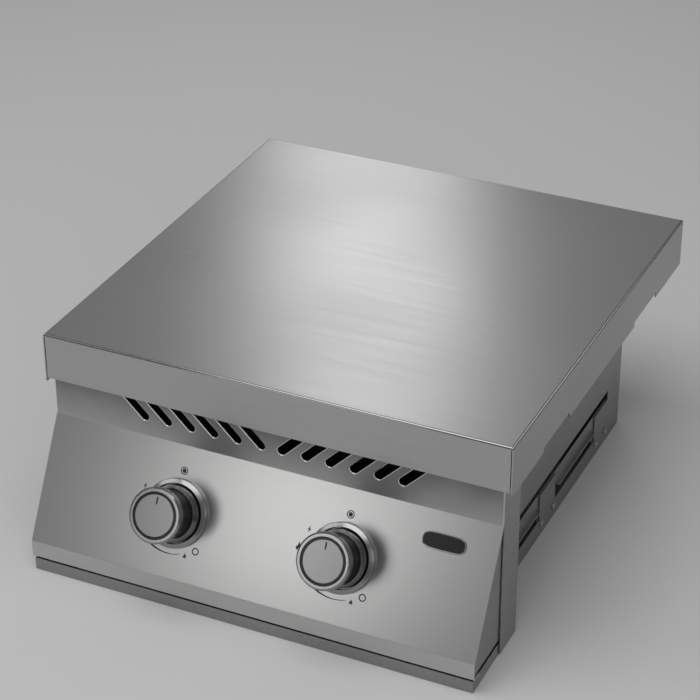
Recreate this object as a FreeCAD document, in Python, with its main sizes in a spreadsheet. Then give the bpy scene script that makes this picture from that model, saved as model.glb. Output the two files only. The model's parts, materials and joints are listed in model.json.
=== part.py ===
import FreeCAD, Part
import math
import os
import re
import Sketcher

# Built in gas side burner with a flat lift-off lid and a sloping control panel.
# Millimetres. The origin is the middle of the burner box's underside, +Z is up,
# the control panel faces -Y and +X is to the right of a person who faces the panel.

# Every size that can be set by itself, in millimetres or degrees, and the counts.
SIZES = {
    # Lid: a square folded sheet with its side skirts' lower edges folded in as resting tabs
    "lid_width": 470.0,
    "overall_height": 228.0,
    "lid_gauge": 1.2,
    "lid_bend": 2.0,
    "front_skirt": 47.0,
    "side_skirt": 50.5,
    "lid_seam": 0.8,
    "tab_length": 66.0,
    "tab_reach": 6.5,
    "tab_rise": 6.5,
    "tab_offset": 124.0,
    # Deck: a rim that lies on the counter and a well that holds the burners
    "deck_gauge": 1.2,
    "lid_side_gap": 2.3,
    "rim_lip": 5.3,
    "well_gap": 2.3,
    "well_depth": 32.5,
    "well_corner": 20.0,
    "seal_squeeze": 0.7,
    "seal_inset": 0.8,
    "rest_gap": 0.3,
    # Burner box with its castellated cooling windows
    "box_inset": 42.0,
    "box_gauge": 1.2,
    "box_corner": 3.0,
    "box_flange": 12.0,
    "slot_front": 4.0,
    "slot_rear": 41.0,
    "window_foot": 19.5,
    "middle_plate": 43.0,
    "front_plate": 34.0,
    "rear_plate": 38.0,
    "plate_top": 49.0,
    "slot_top": 60.0,
    "rear_vent_width": 8.0,
    "rear_vent_height": 46.0,
    "rear_vent_foot": 92.0,
    "rear_vent_pitch": 30.0,
    "rear_vent_count": 8,
    # Base pan inside the box, with pressed-out lips over its air gaps
    "pan_clearance": 0.2,
    "pan_height": 50.5,
    "louvre_top": 33.0,
    "louvre_inset": 4.0,
    "louvre_reach": 4.0,
    "screw_radius": 1.8,
    "screw_head": 3.4,
    "screw_head_height": 1.8,
    "screw_length": 6.0,
    "screw_clearance": 0.1,
    "pan_screw_height": 14.0,
    "pan_screw_inset": 5.0,
    # Control panel: an upright strip with vents, then a sloping face, then a lower band
    "panel_inset": 7.4,
    "panel_gauge": 1.5,
    "panel_setback": 2.9,
    "panel_rise": 15.5,
    "panel_fold": 12.0,
    "panel_strip": 55.3,
    "panel_slope": 29.0,
    "panel_band": 18.6,
    "band_edge": 14.335,
    "bend_radius": 1.5,
    "vent_width": 10.0,
    "vent_rise": 20.0,
    "vent_first": 10.5,
    "vent_pitch": 24.1,
    "vent_lift": 20.1,
    "vent_count": 6,
    # Control housing behind the panel
    "housing_gauge": 1.2,
    "housing_gap": 0.2,
    "wing_gap": 1.2,
    "wing_step": 1.2,
    "cheek_inset": 1.6,
    "cheek_lap": 9.0,
    "floor_gap": 1.6,
    "floor_setback": 1.4,
    "floor_slot_count": 4,
    "floor_slot_first": 20.0,
    "floor_slot_pitch": 18.0,
    "floor_slot_width": 8.0,
    "floor_slot_inner": 100.0,
    "floor_slot_inset": 37.6,
    "fixing_inset": 17.6,
    "fixing_low": 90.0,
    "fixing_high": 150.0,
    "fixing_radius": 2.5,
    "tube_hole": 8.0,
    "lead_hole": 5.0,
    # Knobs, measured outwards from the sloping face
    "knob_offset": 85.0,
    "knob_place": 0.51,
    "knob_reach": 45.0,
    "knob_radius": 26.3,
    "shell_depth": 7.0,
    "shell_wall": 1.7,
    "rim_width": 4.2,
    "rim_thickness": 4.0,
    "knob_chamfer": 1.6,
    "light_ring_width": 2.3,
    "face_gap": 0.1,
    "ring_recess": 0.4,
    "waist_radius": 21.6,
    "waist_flare": 22.8,
    "waist_foot": 3.0,
    "waist_head": 5.0,
    "waist_edge": 0.6,
    "skirt_radius": 27.0,
    "skirt_land": 3.0,
    "skirt_edge_height": 2.0,
    "skirt_shoulder": 1.6,
    "skirt_top": 14.0,
    "skirt_foot": 6.5,
    "hub_radius": 12.0,
    "hub_foot": 8.0,
    "push_travel": 3.5,
    "stem_radius": 3.0,
    "stem_flat": 1.8,
    "stem_in_knob": 19.0,
    "running_clearance": 0.05,
    # Bezels and their lamp boards
    "bezel_radius": 32.8,
    "bezel_height": 6.0,
    "bezel_fall": 1.4,
    "bezel_rim": 4.9,
    "bezel_wall": 1.4,
    "bezel_chamfer": 0.9,
    "bezel_lead": 0.6,
    "bezel_collar_foot": 2.0,
    "board_inner": 22.5,
    "board_outer": 27.4,
    "board_thickness": 1.6,
    # Gas valves, measured inwards from the sloping face
    "valve_half_width": 12.0,
    "valve_front": 13.0,
    "valve_back": 52.0,
    "valve_neck": 8.0,
    "valve_flange_half": 24.0,
    "valve_flange_height": 9.0,
    "valve_flange": 2.5,
    "valve_screw_offset": 17.0,
    "panel_hole": 8.6,
    "plug_front": 28.0,
    "plug_back": 46.0,
    "plug_radius": 7.5,
    "plug_tip_radius": 6.0,
    "stem_in_plug": 3.0,
    "outlet_depth": 40.0,
    "outlet_radius": 6.0,
    "outlet_reach": 18.0,
    "spigot_radius": 4.0,
    "spigot_clearance": 0.2,
    "spigot_depth": 3.0,
    "gasway_radius": 2.4,
    # Manifold and gas inlet
    "manifold_below": 24.0,
    "manifold_behind": 32.0,
    "manifold_radius": 9.5,
    "manifold_wall": 1.5,
    "manifold_overhang": 65.0,
    "plug_hex": 11.0,
    "plug_length": 14.0,
    "clamp_width": 14.0,
    "clamp_gauge": 2.0,
    "clamp_bolt_offset": 15.0,
    "clamp_bolt_radius": 2.0,
    "clamp_bolt_head": 2.0,
    "clamp_ear": 4.0,
    "bracket_offset": 48.0,
    "bracket_width": 20.0,
    "bracket_gauge": 2.0,
    "bracket_foot": 12.0,
    "saddle_reach": 7.0,
    "elbow_size": 24.0,
    "elbow_throat": 8.0,
    "socket_depth": 4.0,
    "inlet_radius": 8.0,
    "inlet_bore": 4.5,
    "inlet_hex": 12.7,
    "inlet_hex_length": 9.0,
    "inlet_thread_radius": 7.94,
    "inlet_thread_length": 16.0,
    "inlet_cone": 4.0,
    # Burners
    "burner_offset": 95.0,
    "cup_radius": 43.0,
    "cup_wall": 4.0,
    "cup_depth": 41.0,
    "cup_flange_radius": 50.0,
    "cup_flange": 4.0,
    "collar_radius": 41.0,
    "collar_wall": 4.0,
    "collar_rise": 4.0,
    "collar_clearance": 0.8,
    "boss_radius": 8.0,
    "boss_height": 9.5,
    "boss_reach": 52.0,
    "air_hole_radius": 6.0,
    "air_hole_circle": 27.0,
    "air_hole_count": 5,
    "pedestal_radius": 9.0,
    "pedestal_height": 20.0,
    "jet_radius": 4.0,
    "jet_hex": 6.0,
    "jet_thread": 8.0,
    "jet_head": 6.0,
    "jet_bore": 0.7,
    "burner_screw_circle": 45.6,
    "burner_screw_count": 3,
    "burner_screw_length": 5.0,
    "ring_flange_radius": 45.0,
    "ring_flange": 4.0,
    "ring_wall": 3.5,
    "ring_height": 20.0,
    "ring_spigot": 4.0,
    "throat_radius": 10.0,
    "throat_wall": 3.0,
    "throat_length": 16.0,
    "port_width": 2.2,
    "port_height": 7.0,
    "port_count": 24,
    "cap_radius": 42.5,
    "cap_edge": 3.2,
    "cap_crown": 7.6,
    "cap_register": 5.0,
    "electrode_circle": 57.0,
    "electrode_angle": 45.0,
    "electrode_radius": 3.2,
    "electrode_collar": 5.4,
    "electrode_below": 21.0,
    "electrode_above": 16.0,
    "electrode_tip": 6.0,
    "electrode_wire": 0.9,
    "electrode_wire_length": 10.0,
    # Gas tubes
    "tube_radius": 4.0,
    "tube_wall": 1.0,
    "tube_seat": 12.0,
    "tube_bend": 20.0,
    "nut_radius": 8.6,
    "nut_length": 9.0,
    # Grates
    "grate_room": 18.8,
    "grate_bar": 9.0,
    "grate_bar_height": 12.0,
    "grate_gap": 3.0,
    "grate_edge_gap": 5.0,
    "grate_corner": 12.0,
    "grate_cross": 62.0,
    "grate_eye": 27.0,
    "grate_leg": 11.0,
    "grate_leg_inset": 26.0,
    # Blank badge plate
    "badge_inset": 50.6,
    "badge_drop": 27.0,
    "badge_width": 42.0,
    "badge_height": 16.0,
    "badge_thickness": 1.2,
    # Spark module, battery holder and ignition leads
    "module_half_width": 32.0,
    "module_room": 4.88,
    "module_height": 34.0,
    "module_gap": 4.0,
    "terminal_offset": 12.0,
    "lead_hole_shift": 3.0,
    "lead_hole_drop": 1.0,
    "terminal_radius": 3.0,
    "terminal_height": 4.0,
    "battery_offset": 72.0,
    "battery_length": 58.0,
    "battery_depth": 30.0,
    "battery_height": 22.0,
    "lead_radius": 1.6,
    "lead_drop": 15.0,
    "lead_shift": 7.0,
    "lead_entry": 28.0,
    "lead_run": 78.0,
    "lead_sag": 6.0,
    "lead_turn": 24.0,
    "lead_bend": 19.0,
}

# Values worked out from the sizes above. They fill cells of the same sheet.
DERIVED = {
    "lid_under": "overall_height - lid_gauge",
    "skirt_edge": "overall_height - side_skirt",
    "tab_top": "skirt_edge + tab_rise",
    "deck_top": "tab_top - lid_gauge - rest_gap",
    "deck_under": "deck_top - deck_gauge",
    "lip_edge": "deck_top - rim_lip",
    "counter_level": "lip_edge - seal_squeeze",
    "well_floor": "deck_top - well_depth",
    "well_under": "well_floor - deck_gauge",
    "half_lid": "lid_width / 2",
    "lid_front": "lid_width / 2",
    "half_rim": "half_lid - lid_gauge - lid_side_gap",
    "rear_rim": "lid_front - lid_gauge - lid_side_gap",
    "box_width": "lid_width - 2 * box_inset",
    "half_box": "box_width / 2",
    "half_well": "half_box - box_gauge - well_gap",
    "half_pan": "half_box - box_gauge - pan_clearance",
    "window_length": "(box_width - slot_front - slot_rear - front_plate - middle_plate - rear_plate) / 2",
    "window_centre": "slot_front + front_plate + window_length + middle_plate / 2 - half_box",
    "panel_front": "lid_front - panel_setback",
    "panel_back": "panel_front - panel_gauge",
    "panel_width": "lid_width - 2 * panel_inset",
    "half_panel": "panel_width / 2",
    "panel_top": "deck_top + panel_rise",
    "panel_bend_height": "panel_top - panel_strip",
    "vent_foot": "panel_bend_height + vent_lift",
    "foot_height": "band_edge + panel_band",
    "panel_face_length": "(panel_bend_height - foot_height) / cos(panel_slope)",
    "knob_drop": "panel_face_length * knob_place",
    "bend_shift": "panel_gauge * tan(panel_slope / 2)",
    "foot_front": "panel_front + panel_face_length * sin(panel_slope)",
    "housing_back": "half_box + housing_gap",
    "wing_start": "half_box + wing_gap",
    "wing_back": "housing_back - wing_step",
    "fixing_offset": "half_panel - fixing_inset",
    "inlet_offset": "half_panel - fixing_inset",
    "manifold_right": "knob_offset + manifold_overhang",
    "badge_offset": "half_panel - badge_inset",
    "knob_front": "panel_front + knob_drop * sin(panel_slope)",
    "knob_height": "panel_bend_height - knob_drop * cos(panel_slope)",
    "manifold_front": "knob_front + manifold_below * sin(panel_slope) - manifold_behind * cos(panel_slope)",
    "manifold_height": "knob_height - manifold_below * cos(panel_slope)"
                       " - manifold_behind * sin(panel_slope)",
    "cup_foot": "well_under - cup_depth",
    "boss_level": "cup_foot + boss_height",
    "collar_top": "well_under + deck_gauge + collar_rise",
    "ring_foot": "collar_top + running_clearance",
    "ring_top": "ring_foot + ring_height",
    "cap_foot": "ring_top + running_clearance",
    "shell_foot": "knob_reach - shell_depth",
    "rim_foot": "knob_reach - rim_thickness",
    "ring_outer": "knob_radius - rim_width - face_gap",
    "ring_inner": "ring_outer - light_ring_width",
    "face_radius": "ring_inner - face_gap",
    "core_radius": "knob_radius - shell_wall - face_gap",
    "grate_top": "lid_under - grate_room",
    "grate_under": "grate_top - grate_bar_height",
    "electrode_side": "electrode_circle * sin(electrode_angle)",
    "electrode_front": "electrode_circle * cos(electrode_angle)",
    "module_rear": "housing_back + housing_gauge + module_gap",
    "module_depth": "manifold_front - manifold_radius - module_room - module_rear",
    "lead_level": "boss_level - lead_drop",
}

SIDES = {"left": -1, "right": 1}

doc = FreeCAD.newDocument("side_burner")
sheet = doc.addObject("Spreadsheet::Sheet", "sizes")
pieces = {}


def fill_sheet():
    """Writes every size and every derived value to the sheet, each with its alias."""
    row = 1
    for alias, value in SIZES.items():
        sheet.set(f"A{row}", alias)
        sheet.set(f"B{row}", str(value))
        sheet.setAlias(f"B{row}", alias)
        row += 1
    for alias, text in DERIVED.items():
        sheet.set(f"A{row}", alias)
        sheet.set(f"B{row}", "=" + text)
        sheet.setAlias(f"B{row}", alias)
        row += 1
    doc.recompute()


def formula(text):
    """Puts the sheet's name before each word that names one of its cells."""
    return re.sub(r"[a-z_]+", lambda word: name_in_sheet(word.group()), str(text))


def name_in_sheet(word):
    return f"sizes.{word}" if word in SIZES or word in DERIVED else word


def number(text):
    """The present value of a formula."""
    return float(sheet.evalExpression(formula(text)))


def bind(thing, **formulas):
    """Binds properties to formulas; a double underscore stands for a dot."""
    for path, text in formulas.items():
        thing.setExpression(path.replace("__", "."), formula(text))


def place(thing, x="0", y="0", z="0"):
    """Binds the place of an object that isn't turned."""
    bind(thing, Placement__Base__x=x, Placement__Base__y=y, Placement__Base__z=z)


def seat_on_panel(thing, x="0", drop="knob_drop"):
    """Seats a piece on the sloping face, its own Z outwards and its own Y up the slope."""
    thing.Placement = FreeCAD.Placement(
        FreeCAD.Vector(), FreeCAD.Rotation(FreeCAD.Vector(1, 0, 0), 90 - SIZES["panel_slope"]))
    bind(thing, Placement__Rotation__Angle="(90 - panel_slope) * 1 deg", Placement__Base__x=x,
         Placement__Base__y=f"-panel_front - {drop} * sin(panel_slope)",
         Placement__Base__z=f"panel_bend_height - {drop} * cos(panel_slope)")


def node(thing, name):
    """Names a finished piece and keeps it for the list of pieces."""
    thing.Label = name
    pieces[name] = thing
    return thing


# Sketches and features

def body_named(name):
    return doc.addObject("PartDesign::Body", f"{name}_body")


def sketch_on(body, name, role, level):
    """A sketch on one of the body's own planes, lifted to a level along its normal."""
    plane = next(item for item in body.Origin.OriginFeatures if item.Role == role)
    sketch = body.newObject("Sketcher::SketchObject", name)
    sketch.AttachmentSupport = [(plane, "")]
    sketch.MapMode = "FlatFace"
    bind(sketch, AttachmentOffset__Base__z=level)
    return sketch


def add_polygon(sketch, corners):
    """A closed outline with each corner held by formulas for its two distances."""
    first = sketch.GeometryCount
    points = [FreeCAD.Vector(number(x), number(y), 0) for x, y in corners]
    count = len(points)
    for index in range(count):
        sketch.addGeometry(Part.LineSegment(points[index], points[(index + 1) % count]), False)
    for index in range(count):
        follower = first + (index + 1) % count
        sketch.addConstraint(Sketcher.Constraint("Coincident", first + index, 2, follower, 1))
    for index, (x, y) in enumerate(corners):
        hold_point(sketch, first + index, 1, x, y)


def hold_point(sketch, curve, end, x, y):
    across = sketch.addConstraint(Sketcher.Constraint("DistanceX", -1, 1, curve, end, number(x)))
    bind(sketch, **{f"Constraints[{across}]": x})
    along = sketch.addConstraint(Sketcher.Constraint("DistanceY", -1, 1, curve, end, number(y)))
    bind(sketch, **{f"Constraints[{along}]": y})


def hold_radius(sketch, curve, radius):
    held = sketch.addConstraint(Sketcher.Constraint("Radius", curve, number(radius)))
    bind(sketch, **{f"Constraints[{held}]": radius})


def add_circle(sketch, x, y, radius):
    centre = FreeCAD.Vector(number(x), number(y), 0)
    normal = FreeCAD.Vector(0, 0, 1)
    curve = sketch.addGeometry(Part.Circle(centre, normal, number(radius)), False)
    hold_point(sketch, curve, 3, x, y)
    hold_radius(sketch, curve, radius)


def polygon(body, name, role, level, corners):
    sketch = sketch_on(body, name, role, level)
    add_polygon(sketch, corners)
    return sketch


def rectangles(body, name, role, level, boxes):
    """A sketch of separate rectangles, each given as its low corner and high corner."""
    sketch = sketch_on(body, name, role, level)
    for low_x, low_y, high_x, high_y in boxes:
        add_polygon(sketch, [(low_x, low_y), (high_x, low_y), (high_x, high_y), (low_x, high_y)])
    return sketch


def circles(body, name, role, level, rounds):
    sketch = sketch_on(body, name, role, level)
    for x, y, radius in rounds:
        add_circle(sketch, x, y, radius)
    return sketch


def rounded_square(body, name, level, half, radius):
    """A sketch of a centred square with rounded corners."""
    sketch = sketch_on(body, name, "XY_Plane", level)
    round_centre = number(half) - number(radius)
    reach = number(radius)
    normal = FreeCAD.Vector(0, 0, 1)
    arcs = []
    for corner, (sign_x, sign_y) in enumerate([(1, 1), (-1, 1), (-1, -1), (1, -1)]):
        centre = FreeCAD.Vector(sign_x * round_centre, sign_y * round_centre, 0)
        start = corner * math.pi / 2
        arcs.append(Part.ArcOfCircle(Part.Circle(centre, normal, reach), start, start + math.pi / 2))
    for corner in range(4):
        sketch.addGeometry(arcs[corner], False)
        next_start = arcs[(corner + 1) % 4].StartPoint
        sketch.addGeometry(Part.LineSegment(arcs[corner].EndPoint, next_start), False)
    for curve in range(8):
        sketch.addConstraint(Sketcher.Constraint("Tangent", curve, 2, (curve + 1) % 8, 1))
    for corner, (sign_x, sign_y) in enumerate([(1, 1), (-1, 1), (-1, -1), (1, -1)]):
        inset = f"({half} - ({radius}))"
        hold_point(sketch, 2 * corner, 3, f"{sign_x} * {inset}", f"{sign_y} * {inset}")
        hold_radius(sketch, 2 * corner, radius)
    return sketch


def centred_square(half_x, half_y):
    return [(f"-({half_x})", f"-({half_y})", half_x, half_y)]


def pad(body, sketch, length, centred=False):
    feature = body.newObject("PartDesign::Pad", f"{sketch.Name}_pad")
    feature.Profile = sketch
    feature.Midplane = centred
    bind(feature, Length=length)
    doc.recompute()
    return feature


def pocket(body, sketch, length, downwards=True, centred=False):
    """Cuts a sketch into the body and stops the run if nothing was cut away."""
    before = body.Shape.Volume
    feature = body.newObject("PartDesign::Pocket", f"{sketch.Name}_pocket")
    feature.Profile = sketch
    feature.Midplane = centred
    feature.Reversed = not downwards
    bind(feature, Length=length)
    doc.recompute()
    if body.Shape.Volume >= before:
        raise RuntimeError(f"{feature.Name} cuts nothing")
    return feature


def fillet(body, radius, test):
    """Rounds the edges whose middle point passes a test."""
    base = body.Tip
    names = [f"Edge{place_in_list + 1}" for place_in_list, edge in enumerate(base.Shape.Edges)
             if test(edge)]
    feature = body.newObject("PartDesign::Fillet", f"{body.Name}_round")
    feature.Base = (base, names)
    bind(feature, Radius=radius)
    doc.recompute()
    return feature


def near(value, text):
    return abs(value - number(text)) < 1e-4


def upright_corner(edge, half_x, half_y):
    """True for an upright edge at a corner of a centred rectangle."""
    middle = edge.CenterOfMass
    size = edge.BoundBox
    return (size.XLength < 1e-4 and size.YLength < 1e-4
            and near(abs(middle.x), half_x) and near(abs(middle.y), half_y))


def turned(name, profile):
    """A body turned about its own Z axis from a profile of radius and height."""
    body = body_named(name)
    sketch = polygon(body, f"{name}_profile", "XZ_Plane", "0", profile)
    feature = body.newObject("PartDesign::Revolution", f"{name}_turned")
    feature.Profile = sketch
    feature.ReferenceAxis = (sketch, ["V_Axis"])
    feature.Angle = 360
    doc.recompute()
    return body


# Primitives and booleans

TURN_TO_AXIS = {
    "X": FreeCAD.Rotation(FreeCAD.Vector(0, 1, 0), 90),
    "Y": FreeCAD.Rotation(FreeCAD.Vector(1, 0, 0), -90),
    "Z": FreeCAD.Rotation(),
}


def block(name, low, size):
    thing = doc.addObject("Part::Box", name)
    bind(thing, Length=size[0], Width=size[1], Height=size[2])
    place(thing, *low)
    return thing


def span(name, low, high):
    """A block between two corners."""
    size = [f"({top}) - ({bottom})" for bottom, top in zip(low, high)]
    return block(name, low, size)


def rod(name, radius, length, base, axis="Z"):
    """A cylinder that starts at a point and runs along +X, +Y or +Z."""
    thing = doc.addObject("Part::Cylinder", name)
    bind(thing, Radius=radius, Height=length)
    thing.Placement = FreeCAD.Placement(FreeCAD.Vector(), TURN_TO_AXIS[axis])
    place(thing, *base)
    return thing


def cone(name, low_radius, high_radius, length, base, axis="Z"):
    thing = doc.addObject("Part::Cone", name)
    bind(thing, Radius1=low_radius, Radius2=high_radius, Height=length)
    thing.Placement = FreeCAD.Placement(FreeCAD.Vector(), TURN_TO_AXIS[axis])
    place(thing, *base)
    return thing


def hexagon(name, radius, length, base, axis="Z"):
    """A hexagonal bar, its radius taken to its corners."""
    thing = doc.addObject("Part::Prism", name)
    thing.Polygon = 6
    bind(thing, Circumradius=radius, Height=length)
    thing.Placement = FreeCAD.Placement(FreeCAD.Vector(), TURN_TO_AXIS[axis])
    place(thing, *base)
    return thing


def fuse(name, shapes):
    thing = doc.addObject("Part::MultiFuse", name)
    thing.Shapes = shapes
    thing.Refine = True
    return thing


def cut(name, base, tools):
    thing = doc.addObject("Part::Cut", name)
    thing.Base = base
    thing.Tool = tools[0] if len(tools) == 1 else fuse(f"{name}_tools", tools)
    thing.Refine = True
    return thing


def common(name, one, other):
    thing = doc.addObject("Part::Common", name)
    thing.Base = one
    thing.Tool = other
    return thing


def group(name, members):
    thing = doc.addObject("Part::Compound", name)
    thing.Links = members
    return thing


# Lid

def make_lid():
    """A folded tray, open below, with seams at its front corners and four resting tabs."""
    body = body_named("lid")
    plan = rectangles(body, "lid_plan", "XY_Plane", "skirt_edge", centred_square("half_lid", "lid_front"))
    pad(body, plan, "side_skirt")
    fillet(body, "lid_bend", lambda edge: near(edge.CenterOfMass.z, "overall_height"))
    solid = body.Tip
    opening = [f"Face{index + 1}" for index, face in enumerate(solid.Shape.Faces)
               if near(face.CenterOfMass.z, "skirt_edge")]
    wall = body.newObject("PartDesign::Thickness", "lid_wall")
    wall.Base = (solid, opening)
    wall.Reversed = True
    bind(wall, Value="lid_gauge")
    doc.recompute()
    front_cut = rectangles(body, "front_skirt_cut", "XZ_Plane", "lid_front - 2 * lid_gauge", [
        ("-half_lid - lid_gauge", "skirt_edge - lid_gauge",
         "half_lid + lid_gauge", "overall_height - front_skirt")])
    pocket(body, front_cut, "4 * lid_gauge", downwards=False)
    for side in (-1, 1):
        seam = rectangles(body, f"seam_{side + 2}", "XZ_Plane", "lid_front - lid_gauge", [
            seam_outline(side)])
        pocket(body, seam, "2 * lid_gauge", downwards=False)
    notch_rows = [("tab_offset - tab_length / 2", "tab_offset + tab_length / 2"),
                  ("-tab_offset - tab_length / 2", "-tab_offset + tab_length / 2")]
    notches = rectangles(body, "tab_notches", "YZ_Plane", "0", [
        (low, "skirt_edge - lid_gauge", high, "tab_top") for low, high in notch_rows])
    pocket(body, notches, "2 * half_lid + 2 * lid_gauge", centred=True)
    tabs = []
    for low, high in notch_rows:
        tabs.append(("half_lid - lid_gauge - tab_reach", low, "half_lid", high))
        tabs.append(("-half_lid", low, "-half_lid + lid_gauge + tab_reach", high))
    pad(body, rectangles(body, "resting_tabs", "XY_Plane", "tab_top - lid_gauge", tabs),
        "lid_gauge + rest_gap")
    node(body, "lid_shell")


def seam_outline(side):
    """The upright gap beside a front corner, between the front and the side skirt."""
    inner = "half_lid - lid_gauge - lid_seam"
    outer = "half_lid - lid_gauge"
    foot = "skirt_edge - lid_gauge"
    head = "overall_height - lid_bend - lid_gauge"
    if side > 0:
        return (inner, foot, outer, head)
    return (f"-({outer})", foot, f"-({inner})", head)


# Deck, seal and grates

def make_deck():
    """A pressed sheet: a rim with a turned down lip and a deep rounded well."""
    body = body_named("deck")
    rim = rectangles(body, "deck_rim", "XY_Plane", "deck_under", [
        ("-half_rim", "-(panel_back - rest_gap)", "half_rim", "rear_rim")])
    pad(body, rim, "deck_gauge")
    lip = polygon(body, "deck_lip", "XY_Plane", "lip_edge", u_outline(
        "half_rim", "rear_rim", "-half_box", "deck_gauge"))
    pad(body, lip, "rim_lip - deck_gauge / 2")
    basin = rounded_square(body, "well_outside", "well_under", "half_well", "well_corner")
    pad(body, basin, "well_depth + deck_gauge")
    hollow = rounded_square(body, "well_inside", "deck_top", "half_well - deck_gauge",
                            "well_corner - deck_gauge")
    pocket(body, hollow, "well_depth")
    holes = []
    for side in SIDES.values():
        holes.append((f"{side} * burner_offset", "0", "collar_radius + collar_clearance"))
        holes.append((f"{side} * (burner_offset - electrode_side)", "-electrode_front",
                      "electrode_radius + collar_clearance / 2"))
        holes += [(x, y, "screw_radius + screw_clearance") for x, y in burner_screw_places(side)]
    pocket(body, circles(body, "deck_holes", "XY_Plane", "well_floor", holes), "2 * deck_gauge")
    node(body, "deck_pan")


def u_outline(half_width, rear, front, thickness):
    """A U with its open end to the front."""
    inner = f"({half_width}) - ({thickness})"
    inner_rear = f"({rear}) - ({thickness})"
    return [(f"-({half_width})", front), (f"-({inner})", front), (f"-({inner})", inner_rear),
            (inner, inner_rear), (inner, front), (half_width, front),
            (half_width, rear), (f"-({half_width})", rear)]


def burner_screw_places(side):
    """The screw places round one burner, the first of them behind it."""
    count = int(number("burner_screw_count"))
    places = []
    for index in range(count):
        turn = f"(90 + {index} * 360 / burner_screw_count)"
        places.append((f"{side} * burner_offset + burner_screw_circle * cos({turn})",
                       f"burner_screw_circle * sin({turn})"))
    return places


def make_seal():
    """A foam strip on three sides between the deck's rim and the counter."""
    body = body_named("seal")
    width = "(half_rim - deck_gauge - seal_inset) - (half_box + box_flange + seal_inset)"
    outline = polygon(body, "seal_plan", "XY_Plane", "counter_level", u_outline(
        "half_rim - deck_gauge - seal_inset", "rear_rim - deck_gauge - seal_inset",
        "-(wing_back - rest_gap)", width))
    pad(body, outline, "deck_under - counter_level")
    node(body, "flange_seal")


def make_grate(name, side):
    """A cast grate: a rounded frame, bars across it, fingers to the burner and four legs."""
    body = body_named(f"grate_{name}")
    near_edge = "grate_gap / 2"
    far_edge = "half_well - deck_gauge - grate_edge_gap"
    end = "half_well - deck_gauge - grate_edge_gap"
    frame = sketch_on(body, f"grate_frame_{name}", "XY_Plane", "grate_under")
    add_polygon(frame, mirrored_box(side, near_edge, far_edge, f"-({end})", end))
    add_polygon(frame, mirrored_box(side, f"{near_edge} + grate_bar", f"{far_edge} - grate_bar",
                                    f"-({end}) + grate_bar", f"{end} - grate_bar"))
    pad(body, frame, "grate_bar_height")
    bars = []
    for direction in (-1, 1):
        bars.append((f"{near_edge} + grate_bar / 2", f"{far_edge} - grate_bar / 2",
                     f"{direction} * grate_cross - grate_bar / 2",
                     f"{direction} * grate_cross + grate_bar / 2"))
        middle = f"{direction} * ({end} + grate_cross) / 2"
        bars.append((f"{near_edge} + grate_bar / 2", f"{far_edge} - grate_bar / 2",
                     f"{middle} - grate_bar / 2", f"{middle} + grate_bar / 2"))
    for index, (low, high, front, rear) in enumerate(bars):
        add_bar(body, f"grate_bar_{name}_{index}", side, low, high, front, rear)
    fingers = [
        (f"{near_edge} + grate_bar / 2", "burner_offset - grate_eye", "-grate_bar / 2", "grate_bar / 2"),
        ("burner_offset + grate_eye", f"{far_edge} - grate_bar / 2", "-grate_bar / 2", "grate_bar / 2"),
        ("burner_offset - grate_bar / 2", "burner_offset + grate_bar / 2", "grate_eye", "grate_cross"),
        ("burner_offset - grate_bar / 2", "burner_offset + grate_bar / 2", "-grate_cross", "-grate_eye"),
        ("burner_offset - grate_bar / 2", "burner_offset + grate_bar / 2", "grate_cross",
         f"{end} - grate_bar / 2"),
        ("burner_offset - grate_bar / 2", "burner_offset + grate_bar / 2",
         f"-({end}) + grate_bar / 2", "-grate_cross"),
    ]
    for index, (low, high, front, rear) in enumerate(fingers):
        add_bar(body, f"grate_finger_{name}_{index}", side, low, high, front, rear)
    legs = sketch_on(body, f"grate_legs_{name}", "XY_Plane", "well_floor + rest_gap")
    for edge_x in (f"{near_edge} + grate_bar", f"{far_edge}"):
        for centre in (f"{end} - grate_leg_inset", f"-({end}) + grate_leg_inset"):
            add_polygon(legs, mirrored_box(side, f"{edge_x} - grate_bar", edge_x,
                                           f"{centre} - grate_leg / 2", f"{centre} + grate_leg / 2"))
    pad(body, legs, "grate_under - well_floor - rest_gap + grate_bar_height / 2")
    fillet(body, "grate_corner", lambda edge: grate_corner(edge, side, near_edge, far_edge, end))
    node(body, f"grate_{name}")


def grate_corner(edge, side, near_edge, far_edge, end):
    middle = edge.CenterOfMass
    upright = edge.BoundBox.XLength < 1e-4 and edge.BoundBox.YLength < 1e-4
    at_side = near(side * middle.x, near_edge) or near(side * middle.x, far_edge)
    return upright and at_side and near(abs(middle.y), end)


def mirrored_box(side, low, high, front, rear):
    """Corners of a rectangle that lies at the left or the right."""
    low_x = low if side > 0 else f"-({high})"
    high_x = high if side > 0 else f"-({low})"
    return [(low_x, front), (high_x, front), (high_x, rear), (low_x, rear)]


def add_bar(body, name, side, low, high, front, rear):
    bar = polygon(body, name, "XY_Plane", "grate_under", mirrored_box(side, low, high, front, rear))
    pad(body, bar, "grate_bar_height")


# Burner box and base pan

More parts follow.
